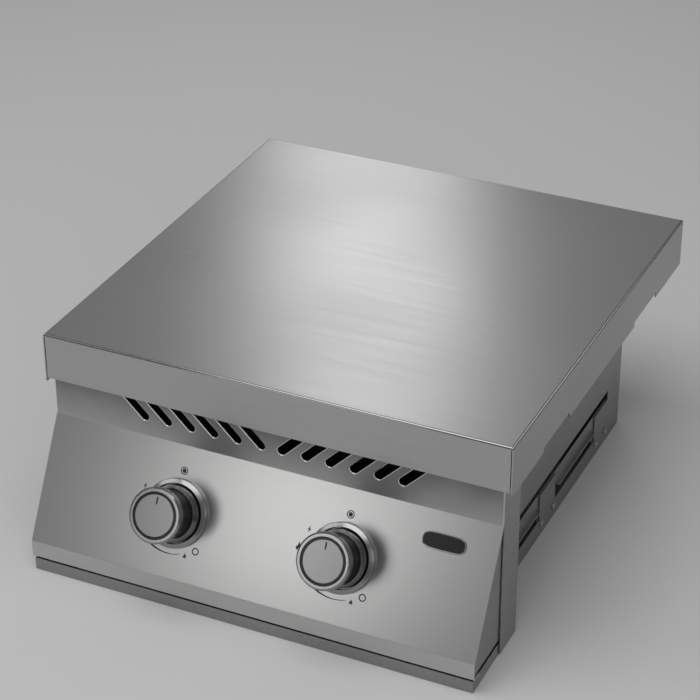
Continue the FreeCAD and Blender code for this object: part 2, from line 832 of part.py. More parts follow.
def make_box():
    """Four walls with an outward flange, cooling windows at the sides and slots behind."""
    body = body_named("box")
    pad(body, rounded_square(body, "box_plan", "0", "half_box", "box_corner"), "deck_under")
    pocket(body, rounded_square(body, "box_hollow", "deck_under", "half_box - box_gauge",
                                "box_corner - box_gauge"), "deck_under")
    flange = polygon(body, "box_flange_plan", "XY_Plane", "deck_under - box_gauge", u_outline(
        "half_box + box_flange", "half_box + box_flange", "-half_box + box_corner",
        "box_flange + box_gauge / 2"))
    pad(body, flange, "box_gauge")
    windows = polygon(body, "side_windows", "YZ_Plane", "0", castellation())
    pocket(body, windows, "box_width + 2 * box_gauge", centred=True)
    slots = rectangles(body, "rear_vents", "XZ_Plane", "-half_box - box_gauge", rear_vents())
    pocket(body, slots, "3 * box_gauge", downwards=False)
    front_holes = circles(body, "box_front_holes", "XZ_Plane", "half_box + box_gauge", wall_holes())
    pocket(body, front_holes, "3 * box_gauge")
    screw_holes = circles(body, "box_screw_holes", "YZ_Plane", "0", [
        (y, z, "screw_radius + screw_clearance") for y, z in pan_screw_places()])
    pocket(body, screw_holes, "box_width + 2 * box_gauge", centred=True)
    node(body, "burner_box")


WINDOW_REAR = "window_centre + middle_plate / 2 + window_length"
WINDOW_FRONT = "window_centre - middle_plate / 2 - window_length"


def castellation():
    """A long slot with two windows below it, as length along the side and height."""
    front_end = f"{WINDOW_FRONT} - front_plate"
    rear_end = f"{WINDOW_REAR} + rear_plate"
    return [(front_end, "slot_top"), (front_end, "plate_top"), (WINDOW_FRONT, "plate_top"),
            (WINDOW_FRONT, "window_foot"), ("window_centre - middle_plate / 2", "window_foot"),
            ("window_centre - middle_plate / 2", "plate_top"),
            ("window_centre + middle_plate / 2", "plate_top"),
            ("window_centre + middle_plate / 2", "window_foot"), (WINDOW_REAR, "window_foot"),
            (WINDOW_REAR, "plate_top"), (rear_end, "plate_top"), (rear_end, "slot_top")]


def rear_vents():
    count = int(number("rear_vent_count"))
    vents = []
    for index in range(count):
        middle = f"rear_vent_pitch * ({index} - (rear_vent_count - 1) / 2)"
        vents.append((f"{middle} - rear_vent_width / 2", "rear_vent_foot",
                      f"{middle} + rear_vent_width / 2", "rear_vent_foot + rear_vent_height"))
    return vents


def wall_holes():
    """Holes through the box's front wall and the housing's back for tubes and leads."""
    holes = []
    for side in SIDES.values():
        holes.append((f"{side} * knob_offset", "boss_level - 1", "tube_hole"))
        holes.append((f"{side} * (terminal_offset + lead_hole_shift)", "lead_level - lead_hole_drop",
                      "lead_hole"))
    return holes


def pan_screw_places():
    """Two screws near the lower corners of each upright plate of the side walls."""
    plates = [(f"{WINDOW_FRONT} - front_plate + pan_screw_inset", f"{WINDOW_FRONT} - pan_screw_inset"),
              ("window_centre - middle_plate / 2 + pan_screw_inset",
               "window_centre + middle_plate / 2 - pan_screw_inset"),
              (f"{WINDOW_REAR} + pan_screw_inset", f"{WINDOW_REAR} + rear_plate - pan_screw_inset")]
    return [(y, "pan_screw_height") for pair in plates for y in pair]


def make_base_pan():
    """The tray that closes the box from below, with air gaps under pressed-out lips."""
    body = body_named("base_pan")
    pad(body, rounded_square(body, "pan_plan", "0", "half_pan", "box_corner - box_gauge"), "pan_height")
    inside = "half_pan - box_gauge"
    pocket(body, rounded_square(body, "pan_hollow", "pan_height", inside, "box_corner - 2 * box_gauge"),
           "pan_height - box_gauge")
    gaps = [("window_centre + middle_plate / 2 + louvre_inset", f"{WINDOW_REAR} - louvre_inset"),
            (f"{WINDOW_FRONT} + louvre_inset", "window_centre - middle_plate / 2 - louvre_inset")]
    slots = rectangles(body, "louvre_gaps", "YZ_Plane", "0", [
        (front, "window_foot", rear, "louvre_top") for front, rear in gaps])
    pocket(body, slots, "box_width + 2 * box_gauge", centred=True)
    lips = []
    for front, rear in gaps:
        lips.append((inside, front, "half_pan + louvre_reach", rear))
        lips.append(("-half_pan - louvre_reach", front, f"-({inside})", rear))
    pad(body, rectangles(body, "louvre_lips", "XY_Plane", "louvre_top", lips), "box_gauge")
    holes = circles(body, "pan_screw_holes", "YZ_Plane", "0", [
        (y, z, "screw_radius + screw_clearance") for y, z in pan_screw_places()])
    pocket(body, holes, "box_width + 2 * box_gauge", centred=True)
    node(body, "base_pan")


def make_pan_screws():
    """The screws that hold the base pan in the box, one row at each side."""
    screws = []
    for side_name, side in SIDES.items():
        for index, (y, z) in enumerate(pan_screw_places()):
            name = f"pan_screw_{side_name}_{index}"
            shank_start = "half_box - screw_length" if side > 0 else "-half_box"
            head_start = "half_box" if side > 0 else "-half_box - screw_head_height"
            shank = rod(f"{name}_shank", "screw_radius", "screw_length", (shank_start, y, z), "X")
            head = rod(f"{name}_head", "screw_head", "screw_head_height", (head_start, y, z), "X")
            screws.append(fuse(name, [shank, head]))
    node(group("pan_screw_set", screws), "pan_screws")


# Control panel and housing

def make_control_panel():
    """One folded sheet with slanted vents in its upright strip and holes for the valves."""
    body = body_named("panel")
    profile = polygon(body, "panel_profile", "YZ_Plane", "0", [
        ("-panel_front + panel_fold", "panel_top"),
        ("-panel_front", "panel_top"),
        ("-panel_front", "panel_bend_height"),
        ("-foot_front", "foot_height"),
        ("-foot_front", "band_edge"),
        ("-foot_front + panel_fold", "band_edge"),
        ("-foot_front + panel_fold", "band_edge + panel_gauge"),
        ("-foot_front + panel_gauge", "band_edge + panel_gauge"),
        ("-foot_front + panel_gauge", "foot_height - bend_shift"),
        ("-panel_back", "panel_bend_height - bend_shift"),
        ("-panel_back", "panel_top - panel_gauge"),
        ("-panel_front + panel_fold", "panel_top - panel_gauge")])
    pad(body, profile, "panel_width", centred=True)
    tight_bends = [("-panel_front", "panel_bend_height"),
                   ("-foot_front + panel_gauge", "foot_height - bend_shift"),
                   ("-foot_front + panel_gauge", "band_edge + panel_gauge"),
                   ("-panel_back", "panel_top - panel_gauge")]
    fillet(body, "bend_radius", lambda edge: runs_across_at(edge, tight_bends))
    wide_bends = [("-panel_back", "panel_bend_height - bend_shift"),
                  ("-foot_front", "foot_height"), ("-foot_front", "band_edge"),
                  ("-panel_front", "panel_top")]
    fillet(body, "bend_radius + panel_gauge", lambda edge: runs_across_at(edge, wide_bends))
    vents = sketch_on(body, "panel_vents", "XZ_Plane", "panel_front + panel_gauge")
    for index in range(int(number("vent_count"))):
        for side in SIDES.values():
            add_slanted_slot(vents, side, f"vent_first + {index} * vent_pitch")
    pocket(body, vents, "3 * panel_gauge")
    holes = []
    for name, side in SIDES.items():
        hole = rod(f"panel_hole_{name}", "panel_hole", "4 * panel_gauge", ("0", "0", "0"))
        for screw_side in (-1, 1):
            spot = rod(f"panel_screw_hole_{name}_{screw_side + 2}", "screw_radius + screw_clearance",
                       "4 * panel_gauge", (f"{screw_side} * valve_screw_offset", "0", "0"))
            holes.append(set_in_panel(f"panel_screw_cut_{name}_{screw_side + 2}", spot, side))
        holes.append(set_in_panel(f"panel_hole_cut_{name}", hole, side))
    node(cut("panel_with_holes", body, holes), "control_panel")


def set_in_panel(name, tool, side):
    """Moves a cutter, drawn in the panel's own frame, to straddle the sloping face."""
    deep = group(name, [tool])
    seat_on_panel(deep, f"{side} * knob_offset")
    bind(deep, Placement__Base__y="-knob_front + 2 * panel_gauge * cos(panel_slope)",
         Placement__Base__z="knob_height - 2 * panel_gauge * sin(panel_slope)")
    return deep


def runs_across_at(edge, places):
    """True for an edge along X through one of the places, given as Y and Z."""
    middle = edge.CenterOfMass
    across = edge.BoundBox.XLength > number("panel_width") / 2
    return across and any(near(middle.y, y) and near(middle.z, z) for y, z in places)


def add_slanted_slot(sketch, side, foot_x):
    """A round-ended slot at 45 degrees that leans outwards as it rises."""
    first = sketch.GeometryCount
    radius = number("vent_width") / 2
    rise = number("vent_rise")
    foot = FreeCAD.Vector(side * number(foot_x), number("vent_foot"), 0)
    head = foot + FreeCAD.Vector(side * rise, rise, 0)
    normal = FreeCAD.Vector(0, 0, 1)
    turn = 0 if side > 0 else math.pi / 2
    low_arc = Part.ArcOfCircle(Part.Circle(foot, normal, radius), turn + 0.75 * math.pi,
                               turn + 1.75 * math.pi)
    high_arc = Part.ArcOfCircle(Part.Circle(head, normal, radius), turn + 1.75 * math.pi,
                                turn + 2.75 * math.pi)
    sketch.addGeometry(low_arc, False)
    sketch.addGeometry(Part.LineSegment(low_arc.EndPoint, high_arc.StartPoint), False)
    sketch.addGeometry(high_arc, False)
    sketch.addGeometry(Part.LineSegment(high_arc.EndPoint, low_arc.StartPoint), False)
    for curve in range(first, first + 4):
        follower = first + (curve - first + 1) % 4
        sketch.addConstraint(Sketcher.Constraint("Tangent", curve, 2, follower, 1))
    hold_radius(sketch, first, "vent_width / 2")
    hold_point(sketch, first, 3, f"{side} * ({foot_x})", "vent_foot")
    hold_point(sketch, first + 2, 3, f"{side} * ({foot_x} + vent_rise)", "vent_foot + vent_rise")


def make_cheek(name, side):
    """The end plate that closes one end of the sloping panel, set in from its edge."""
    body = body_named(f"cheek_{name}")
    outer = "half_panel - cheek_inset"
    level = f"{outer} - housing_gauge" if side > 0 else f"-({outer})"
    outline = polygon(body, f"cheek_outline_{name}", "YZ_Plane", level, [
        ("-panel_back + cheek_lap", "panel_bend_height - bend_shift - housing_gap"),
        ("-panel_back + housing_gap", "panel_bend_height - bend_shift - housing_gap"),
        ("-foot_front + panel_gauge + housing_gap", "foot_height - bend_shift - housing_gap"),
        ("-foot_front + panel_gauge + housing_gap", "band_edge + panel_gauge + 4 * housing_gap"),
        ("-panel_back + cheek_lap", "band_edge + panel_gauge + 4 * housing_gap")])
    pad(body, outline, "housing_gauge")
    node(body, f"panel_cheek_{name}")


def make_housing():
    """Back and side walls of the control housing; its back's stepped ends bear on the cabinet."""
    body = body_named("housing")
    foot = "housing_gauge + housing_gap"
    back = rectangles(body, "housing_rear", "XZ_Plane", "housing_back", [
        ("-wing_start - housing_gauge", foot, "wing_start + housing_gauge", "deck_under - rest_gap")])
    pad(body, back, "housing_gauge")
    wings = rectangles(body, "housing_wings", "XZ_Plane", "wing_back", [
        ("-half_panel", foot, "-wing_start", "counter_level - rest_gap"),
        ("wing_start", foot, "half_panel", "counter_level - rest_gap")])
    pad(body, wings, "wing_step")
    sides = rectangles(body, "housing_sides", "XY_Plane", foot, [
        ("-half_panel", "-panel_back + housing_gap", "-half_panel + housing_gauge",
         "-housing_back"),
        ("half_panel - housing_gauge", "-panel_back + housing_gap", "half_panel",
         "-housing_back")])
    pad(body, sides, f"deck_under - rest_gap - ({foot})")
    holes = wall_holes()
    holes.append(("-inlet_offset", "manifold_height", "inlet_radius + screw_clearance"))
    for side in SIDES.values():
        for level in ("fixing_low", "fixing_high"):
            holes.append((f"{side} * fixing_offset", level, "fixing_radius"))
    pocket(body, circles(body, "housing_holes", "XZ_Plane", "housing_back + 2 * housing_gauge", holes),
           "3 * housing_gauge + 2 * wing_step")
    node(body, "control_housing")


def make_housing_floor():
    """The tray below the controls, with low walls and cooling slots."""
    body = body_named("floor")
    front = "-foot_front + floor_setback"
    rear = "-housing_back - housing_gauge - housing_gap"
    half = "half_panel - housing_gauge - housing_gap"
    height = "band_edge - floor_gap"
    pad(body, rectangles(body, "floor_plan", "XY_Plane", "0", [
        (f"-({half})", front, half, rear)]), height)
    pocket(body, rectangles(body, "floor_hollow", "XY_Plane", height, [
        (f"-({half}) + housing_gauge", f"{front} + housing_gauge",
         f"{half} - housing_gauge", f"{rear} + housing_gauge")]), f"{height} - housing_gauge")
    slots = []
    outer = "half_panel - floor_slot_inset"
    for index in range(int(number("floor_slot_count"))):
        middle = f"-foot_front + floor_slot_first + {index} * floor_slot_pitch"
        front_edge = f"{middle} - floor_slot_width / 2"
        rear_edge = f"{middle} + floor_slot_width / 2"
        slots.append(("floor_slot_inner", front_edge, outer, rear_edge))
        slots.append((f"-({outer})", front_edge, "-floor_slot_inner", rear_edge))
    pocket(body, rectangles(body, "floor_slots", "XY_Plane", "housing_gauge", slots),
           "2 * housing_gauge")
    node(body, "housing_floor")


def make_badge():
    """A blank plate with round ends on the sloping face."""
    body = body_named("badge")
    sketch = sketch_on(body, "badge_outline", "XY_Plane", "0")
    half_x = "badge_width / 2"
    half_y = "badge_height / 2"
    add_polygon(sketch, [(f"-{half_x}", f"-{half_y}"), (half_x, f"-{half_y}"), (half_x, half_y),
                         (f"-{half_x}", half_y)])
    pad(body, sketch, "badge_thickness")
    fillet(body, "badge_height / 2.1",
           lambda edge: upright_corner(edge, "badge_width / 2", "badge_height / 2"))
    seat_on_panel(body, "badge_offset", "badge_drop")
    node(body, "badge_plate")


# Knobs, bezels and lamp boards

def make_knob(name, side):
    """Five pieces that turn together on the stem, and the bezel and board round them."""
    x = f"{side} * knob_offset"
    core = turned(f"knob_core_{name}", [
        ("0", "hub_foot"), ("hub_radius", "hub_foot"), ("hub_radius", "skirt_top"),
        ("waist_flare", "skirt_top"), ("waist_radius", "skirt_top + waist_foot"),
        ("waist_radius", "shell_foot - waist_head"), ("waist_flare", "shell_foot - waist_edge"),
        ("core_radius", "shell_foot"), ("core_radius", "rim_foot - face_gap"),
        ("0", "rim_foot - face_gap")])
    socket = sketch_on(core, f"knob_socket_{name}", "XY_Plane", "hub_foot - 1")
    add_stem_outline(socket, "stem_radius + running_clearance", "stem_flat + running_clearance")
    pocket(core, socket, "stem_in_knob + 1 + face_gap", downwards=False)
    shell = turned(f"knob_shell_{name}", [
        ("core_radius + face_gap", "shell_foot"), ("knob_radius", "shell_foot"),
        ("knob_radius", "knob_reach - knob_chamfer"), ("knob_radius - knob_chamfer", "knob_reach"),
        ("knob_radius - rim_width", "knob_reach"), ("knob_radius - rim_width", "rim_foot"),
        ("core_radius + face_gap", "rim_foot")])
    ring = turned(f"knob_light_ring_{name}", [
        ("ring_inner", "rim_foot"), ("ring_outer", "rim_foot"),
        ("ring_outer", "knob_reach - ring_recess"), ("ring_inner", "knob_reach - ring_recess")])
    face = turned(f"knob_face_{name}", [
        ("0", "rim_foot"), ("face_radius", "rim_foot"), ("face_radius", "knob_reach - ring_recess"),
        ("face_radius - ring_recess", "knob_reach"), ("0", "knob_reach")])
    skirt = turned(f"knob_skirt_{name}", [
        ("hub_radius + face_gap", "hub_foot + 1"), ("skirt_radius - skirt_land", "skirt_foot"),
        ("skirt_radius", "skirt_foot"), ("skirt_radius", "skirt_foot + skirt_edge_height"),
        ("waist_flare + skirt_shoulder", "skirt_top - face_gap"),
        ("hub_radius + face_gap", "skirt_top - face_gap")])
    bezel = turned(f"bezel_{name}", [
        ("bezel_radius - bezel_wall", "0"), ("bezel_radius", "0"),
        ("bezel_radius", "bezel_height - bezel_fall - bezel_chamfer"),
        ("bezel_radius - bezel_chamfer", "bezel_height - bezel_fall"),
        ("bezel_radius - bezel_rim + bezel_lead", "bezel_height"),
        ("bezel_radius - bezel_rim", "bezel_height - bezel_lead"),
        ("bezel_radius - bezel_rim", "bezel_collar_foot"),
        ("bezel_radius - bezel_rim + bezel_wall", "bezel_collar_foot"),
        ("bezel_radius - bezel_rim + bezel_wall", "bezel_height - bezel_wall"),
        ("bezel_radius - bezel_wall", "bezel_height - bezel_fall - bezel_wall")])
    board = turned(f"light_board_{name}", [
        ("board_inner", "0"), ("board_outer", "0"), ("board_outer", "board_thickness"),
        ("board_inner", "board_thickness")])
    named = {"knob_core": core, "knob_shell": shell, "knob_light_ring": ring, "knob_face": face,
             "knob_skirt": skirt, "bezel": bezel, "light_board": board}
    for kind, body in named.items():
        seat_on_panel(body, x)
        node(body, f"{kind}_{name}")


def add_stem_outline(sketch, radius, flat):
    """A round with one flat, the flat's distance from the axis given."""
    reach = number(radius)
    level = number(flat)
    half = math.sqrt(reach ** 2 - level ** 2)
    left = FreeCAD.Vector(-half, level, 0)
    right = FreeCAD.Vector(half, level, 0)
    low = FreeCAD.Vector(0, -reach, 0)
    first = sketch.GeometryCount
    sketch.addGeometry(Part.Arc(left, low, right), False)
    sketch.addGeometry(Part.LineSegment(right, left), False)
    sketch.addConstraint(Sketcher.Constraint("Coincident", first, 3, -1, 1))
    ends = (1, 2) if sketch.Geometry[first].StartPoint.x > 0 else (2, 1)
    sketch.addConstraint(Sketcher.Constraint("Coincident", first, ends[0], first + 1, 1))
    sketch.addConstraint(Sketcher.Constraint("Coincident", first, ends[1], first + 1, 2))
    sketch.addConstraint(Sketcher.Constraint("Horizontal", first + 1))
    hold_radius(sketch, first, radius)
    held = sketch.addConstraint(Sketcher.Constraint("DistanceY", -1, 1, first + 1, 1, level))
    bind(sketch, **{f"Constraints[{held}]": flat})


# Valves, manifold and gas inlet

def make_valve(name, side):
    """The valve body, the plug that turns in it and the stem that slides in the plug."""
    x = f"{side} * knob_offset"
    half = "valve_half_width"
    solid = fuse(f"valve_solid_{name}", [
        span(f"valve_block_{name}", (f"-{half}", f"-{half}", "-valve_back"), (half, half, "-valve_front")),
        rod(f"valve_neck_{name}", "valve_neck", "valve_front", ("0", "0", "-valve_front - 1")),
        span(f"valve_flange_{name}", ("-valve_flange_half", "-valve_flange_height",
                                      "-panel_gauge - valve_flange"),
             ("valve_flange_half", "valve_flange_height", "-panel_gauge")),
        rod(f"valve_outlet_{name}", "outlet_radius", f"outlet_reach - {half} + 1",
            ("0", f"{half} - 1", "-outlet_depth"), "Y"),
        rod(f"valve_spigot_{name}", "spigot_radius",
            "manifold_below - manifold_radius + spigot_depth - valve_half_width + 1",
            ("0", "-(manifold_below - manifold_radius + spigot_depth)", "-manifold_behind"), "Y")])
    clearance = "running_clearance"
    bores = [
        rod(f"valve_stem_bore_{name}", f"stem_radius + {clearance}", "plug_front",
            ("0", "0", "-plug_front")),
        cone(f"valve_plug_bore_{name}", f"plug_tip_radius + {clearance}", f"plug_radius + {clearance}",
             f"plug_back - plug_front + 2 * {clearance}", ("0", "0", f"-plug_back - {clearance}")),
        rod(f"valve_outlet_bore_{name}", "gasway_radius", "outlet_reach", ("0", "0", "-outlet_depth"), "Y"),
        rod(f"valve_tube_socket_{name}", "tube_radius + running_clearance", "outlet_reach",
            ("0", "outlet_reach - socket_depth", "-outlet_depth"), "Y"),
        rod(f"valve_inlet_bore_{name}", "gasway_radius", "manifold_below",
            ("0", "-manifold_below", "-manifold_behind"), "Y")]
    for screw_side in (-1, 1):
        bores.append(rod(f"valve_screw_bore_{name}_{screw_side + 2}", "screw_radius + screw_clearance",
                         "valve_front", (f"{screw_side} * valve_screw_offset", "0", "-valve_front")))
    valve = cut(f"valve_bored_{name}", solid, bores)
    plug = turned(f"plug_{name}", [
        ("0", "-plug_back"), ("plug_tip_radius", "-plug_back"), ("plug_radius", "-plug_front"),
        ("0", "-plug_front")])
    socket = sketch_on(plug, f"plug_socket_{name}", "XY_Plane", "-plug_front")
    add_stem_outline(socket, f"stem_radius + {clearance}", f"stem_flat + {clearance}")
    pocket(plug, socket, "stem_in_plug + push_travel + 1")
    gasway = circles(plug, f"plug_gasway_{name}", "XZ_Plane", "0", [
        ("0", "-outlet_depth", "gasway_radius")])
    pocket(plug, gasway, "4 * plug_radius", centred=True)
    stem = body_named(f"stem_{name}")
    middle = circles(stem, f"stem_round_{name}", "XY_Plane", "-plug_front + push_travel + rest_gap", [
        ("0", "0", "stem_radius")])
    pad(stem, middle, "plug_front - push_travel - rest_gap + hub_foot / 2")
    for end, level, length in [("lower", "-plug_front - stem_in_plug",
                                "stem_in_plug + push_travel + rest_gap"),
                               ("upper", "hub_foot / 2", "hub_foot / 2 + stem_in_knob")]:
        flat = sketch_on(stem, f"stem_{end}_{name}", "XY_Plane", level)
        add_stem_outline(flat, "stem_radius", "stem_flat")
        pad(stem, flat, length)
    for kind, thing in {"valve_body": valve, "valve_plug": plug, "valve_stem": stem}.items():
        seat_on_panel(thing, x)
        node(thing, f"{kind}_{name}")


def make_valve_screws():
    """Two screws through the panel into each valve's flange, hidden by the bezel."""
    screws = []
    for name, side in SIDES.items():
        for screw_side in (-1, 1):
            label = f"valve_screw_{name}_{screw_side + 2}"
            across = f"{screw_side} * valve_screw_offset"
            screw = fuse(label, [
                rod(f"{label}_shank", "screw_radius", "panel_gauge + valve_flange + 1",
                    (across, "0", "-panel_gauge - valve_flange - 1")),
                rod(f"{label}_head", "screw_head", "screw_head_height", (across, "0", "0"))])
            seat_on_panel(screw, f"{side} * knob_offset")
            screws.append(screw)
    node(group("valve_screw_set", screws), "valve_screws")


def make_manifold():
    """The gas pipe under the valves, drawn in the sloping panel's own frame."""
    left_end = "-inlet_offset + elbow_size / 2"
    length = f"manifold_right - ({left_end})"
    centre = ("-manifold_below", "-manifold_behind")
    tools = [rod("manifold_bore", "manifold_radius - manifold_wall", f"{length} + 2",
                 (f"{left_end} - 1", *centre), "X")]
    for name, side in SIDES.items():
        tools.append(rod(f"manifold_tap_{name}", "spigot_radius + spigot_clearance",
                         "1.5 * manifold_radius", (f"{side} * knob_offset", *centre), "Y"))
    pipe = cut("manifold_tapped", rod("manifold_pipe", "manifold_radius", length,
                                      (left_end, *centre), "X"), tools)
    seat_on_panel(pipe)
    node(pipe, "manifold")
    plug = fuse("manifold_plug_solid", [
        hexagon("manifold_plug_head", "plug_hex", "plug_length / 2",
                ("manifold_right", *centre), "X"),
        rod("manifold_plug_thread", "manifold_radius - manifold_wall - running_clearance", "plug_length / 2",
            ("manifold_right - plug_length / 2", *centre), "X")])
    seat_on_panel(plug)
    node(plug, "manifold_plug")


def make_clamp(name, side):
    """A strap under the manifold with two bolts into the valve body."""
    outer = "manifold_radius + rest_gap + clamp_gauge"
    start = ("-clamp_width / 2", "-manifold_below", "-manifold_behind")
    ring = cut(f"clamp_ring_{name}", rod(f"clamp_outside_{name}", outer, "clamp_width", start, "X"),
               [rod(f"clamp_inside_{name}", "manifold_radius + rest_gap", "clamp_width", start, "X")])
    lower_side = span(
        f"clamp_side_{name}",
        ("-clamp_width / 2", f"-manifold_below - ({outer})", f"-manifold_behind - ({outer})"),
        ("clamp_width / 2", "-manifold_below", f"-manifold_behind + {outer}"))
    members = [common(f"clamp_half_{name}", ring, lower_side)]
    near_pipe = "manifold_radius + rest_gap"
    ear_end = "clamp_bolt_offset + clamp_ear"
    ears = {-1: (f"-manifold_behind - ({ear_end})", f"-manifold_behind - ({near_pipe})"),
            1: (f"-manifold_behind + {near_pipe}", f"-manifold_behind + {ear_end}")}
    head_seat = "-manifold_below - clamp_gauge"
    for end, (low, high) in ears.items():
        bolt_level = f"-manifold_behind + {end} * clamp_bolt_offset"
        members.append(span(f"clamp_ear_{name}_{end + 2}", ("-clamp_width / 2", head_seat, low),
                            ("clamp_width / 2", "-manifold_below", high)))
        members.append(rod(f"clamp_bolt_{name}_{end + 2}", "clamp_bolt_radius",
                           "manifold_below - valve_half_width + clamp_gauge + clamp_bolt_head",
                           ("0", f"{head_seat} - clamp_bolt_head", bolt_level), "Y"))
        members.append(rod(f"clamp_bolt_head_{name}_{end + 2}", "2 * clamp_bolt_radius",
                           "clamp_bolt_head", ("0", f"{head_seat} - clamp_bolt_head", bolt_level), "Y"))
    clamp = fuse(f"clamp_{name}", members)
    seat_on_panel(clamp, f"{side} * knob_offset")
    node(clamp, f"manifold_clamp_{name}")


def make_brackets():
    """Two posts that carry the manifold from the housing's floor."""
    posts = []
    for name, side in SIDES.items():
        middle = f"{side} * bracket_offset"
        low = f"{middle} - bracket_width / 2"
        high = f"{middle} + bracket_width / 2"
        saddle = "manifold_height - manifold_radius - rest_gap"
        posts.append(fuse(f"bracket_{name}", [
            span(f"bracket_post_{name}", (low, "-manifold_front - bracket_gauge / 2", "housing_gauge"),
                 (high, "-manifold_front + bracket_gauge / 2", saddle)),
            span(f"bracket_foot_{name}", (low, "-manifold_front", "housing_gauge"),
                 (high, "-manifold_front + bracket_foot", "housing_gauge + bracket_gauge")),
            span(f"bracket_saddle_{name}",
                 (low, "-manifold_front - saddle_reach", f"{saddle} - bracket_gauge"),
                 (high, "-manifold_front + saddle_reach", saddle))]))
    node(group("bracket_set", posts), "manifold_brackets")


def make_inlet():
    """An elbow on the manifold's left end and the flare fitting behind the housing."""
    centre = ("-inlet_offset", "-manifold_front", "manifold_height")
    half = "elbow_size / 2"
    elbow_front = [f"{value} - {half}" for value in centre]
    elbow_rear = [f"{value} + {half}" for value in centre]
    throat = "manifold_radius - manifold_wall - running_clearance"
    solid = fuse("elbow_solid", [
        span("elbow_block", elbow_front, elbow_rear),
        rod("elbow_spigot", throat, f"{half} + elbow_throat", centre, "X")])
    elbow = cut("elbow_bored", solid, [
        rod("elbow_bore_across", "inlet_bore", f"{half} + elbow_throat + 1", centre, "X"),
        rod("elbow_bore_back", "inlet_bore", f"{half} + 1", centre, "Y"),
        rod("elbow_socket", "inlet_radius + running_clearance", "1.5 * socket_depth",
            (centre[0], f"-manifold_front + {half} - socket_depth", centre[2]), "Y")])
    node(elbow, "inlet_elbow")
    start = f"-manifold_front + {half} - socket_depth"
    hex_start = "-wing_back"
    thread_start = f"{hex_start} + inlet_hex_length"
    cone_start = f"{thread_start} + inlet_thread_length"
    fitting = fuse("inlet_solid", [
        rod("inlet_pipe", "inlet_radius", f"{hex_start} - ({start})", (centre[0], start, centre[2]), "Y"),
        hexagon("inlet_hex_bar", "inlet_hex", "inlet_hex_length", (centre[0], hex_start, centre[2]), "Y"),
        rod("inlet_thread", "inlet_thread_radius", "inlet_thread_length",
            (centre[0], thread_start, centre[2]), "Y"),
        cone("inlet_flare", "inlet_thread_radius - 0.8", "inlet_bore + 0.8", "inlet_cone",
             (centre[0], cone_start, centre[2]), "Y")])
    node(cut("inlet_bored", fitting, [
        rod("inlet_through_bore", "inlet_bore", f"{cone_start} + inlet_cone - ({start}) + 2",
            (centre[0], f"{start} - 1", centre[2]), "Y")]), "gas_inlet")


# Burners

def make_burner(name, side):
    """Cup, jet, flame ring, cap and spark electrode of one burner."""
    x = f"{side} * burner_offset"
    inner = "cup_radius - cup_wall"
    cup_turned = turned(f"cup_{name}", [
        ("0", "cup_foot"), ("cup_radius", "cup_foot"), ("cup_radius", "well_under - cup_flange"),
        ("cup_flange_radius", "well_under - cup_flange"), ("cup_flange_radius", "well_under"),
        ("collar_radius", "well_under"), ("collar_radius", "collar_top"),
        ("collar_radius - collar_wall", "collar_top"), ("collar_radius - collar_wall", "well_under"),
        (inner, "well_under - cup_flange"), (inner, "cup_foot + cup_wall"), ("0", "cup_foot + cup_wall")])
    solid = fuse(f"cup_solid_{name}", [
        cup_turned,
        rod(f"cup_boss_{name}", "boss_radius", "boss_reach", ("0", "-boss_reach", "boss_level"), "Y"),
        rod(f"cup_pedestal_{name}", "pedestal_radius", "pedestal_height", ("0", "0", "cup_foot + 1"))])
    tools = [
        rod(f"cup_gasway_{name}", "gasway_radius", "boss_reach + 2",
            ("0", "-boss_reach - 1", "boss_level"), "Y"),
        rod(f"cup_tube_socket_{name}", "tube_radius + running_clearance", "tube_seat + 1",
            ("0", "-boss_reach - 1", "boss_level"), "Y"),
        rod(f"cup_jet_bore_{name}", "jet_radius + running_clearance", "pedestal_height",
            ("0", "0", "boss_level + 1"))]
    for index in range(int(number("air_hole_count"))):
        turn = f"(360 / (air_hole_count + 1) * ({index} + 1) - 90)"
        tools.append(rod(f"cup_air_hole_{name}_{index}", "air_hole_radius", "3 * cup_wall",
                         (f"air_hole_circle * cos({turn})", f"air_hole_circle * sin({turn})",
                          "cup_foot - cup_wall")))
    for index, (screw_x, screw_y) in enumerate(burner_screw_places(0)):
        tools.append(rod(f"cup_screw_bore_{name}_{index}", "screw_radius + screw_clearance",
                         "3 * cup_flange", (screw_x, screw_y, "well_under - 2 * cup_flange")))
    cup = cut(f"cup_bored_{name}", solid, tools)
    jet_seat = "cup_foot + 1 + pedestal_height"
    jet = cut(f"jet_bored_{name}", fuse(f"jet_solid_{name}", [
        hexagon(f"jet_head_{name}", "jet_hex", "jet_head", ("0", "0", jet_seat)),
        rod(f"jet_thread_{name}", "jet_radius", "jet_thread", ("0", "0", f"{jet_seat} - jet_thread"))]), [
        rod(f"jet_orifice_{name}", "jet_bore", "jet_head + jet_thread + 2",
            ("0", "0", f"{jet_seat} - jet_thread - 1")),
        rod(f"jet_counterbore_{name}", "jet_radius / 2", "jet_thread",
            ("0", "0", f"{jet_seat} - jet_thread - 1"))])
    ring = make_flame_ring(name)
    cap_inner = "collar_radius - ring_wall - 1"
    cap = turned(f"cap_{name}", [
        ("0", "cap_foot + 1"), (f"{cap_inner} - 3", "cap_foot + 1"),
        (f"{cap_inner} - 3", "cap_foot - cap_register"),
        (cap_inner, "cap_foot - cap_register"), (cap_inner, "cap_foot"), ("cap_radius", "cap_foot"),
        ("cap_radius", "cap_foot + cap_edge"), ("cap_radius - 4", "cap_foot + cap_crown - 1"),
        ("cap_radius / 2", "cap_foot + cap_crown - 0.3"), ("0", "cap_foot + cap_crown")])
    named = {"burner_cup": cup, "burner_jet": jet, "flame_ring": ring, "burner_cap": cap}
    for kind, thing in named.items():
        place(thing, x)
        node(thing, f"{kind}_{name}")
    make_electrode(name, side)


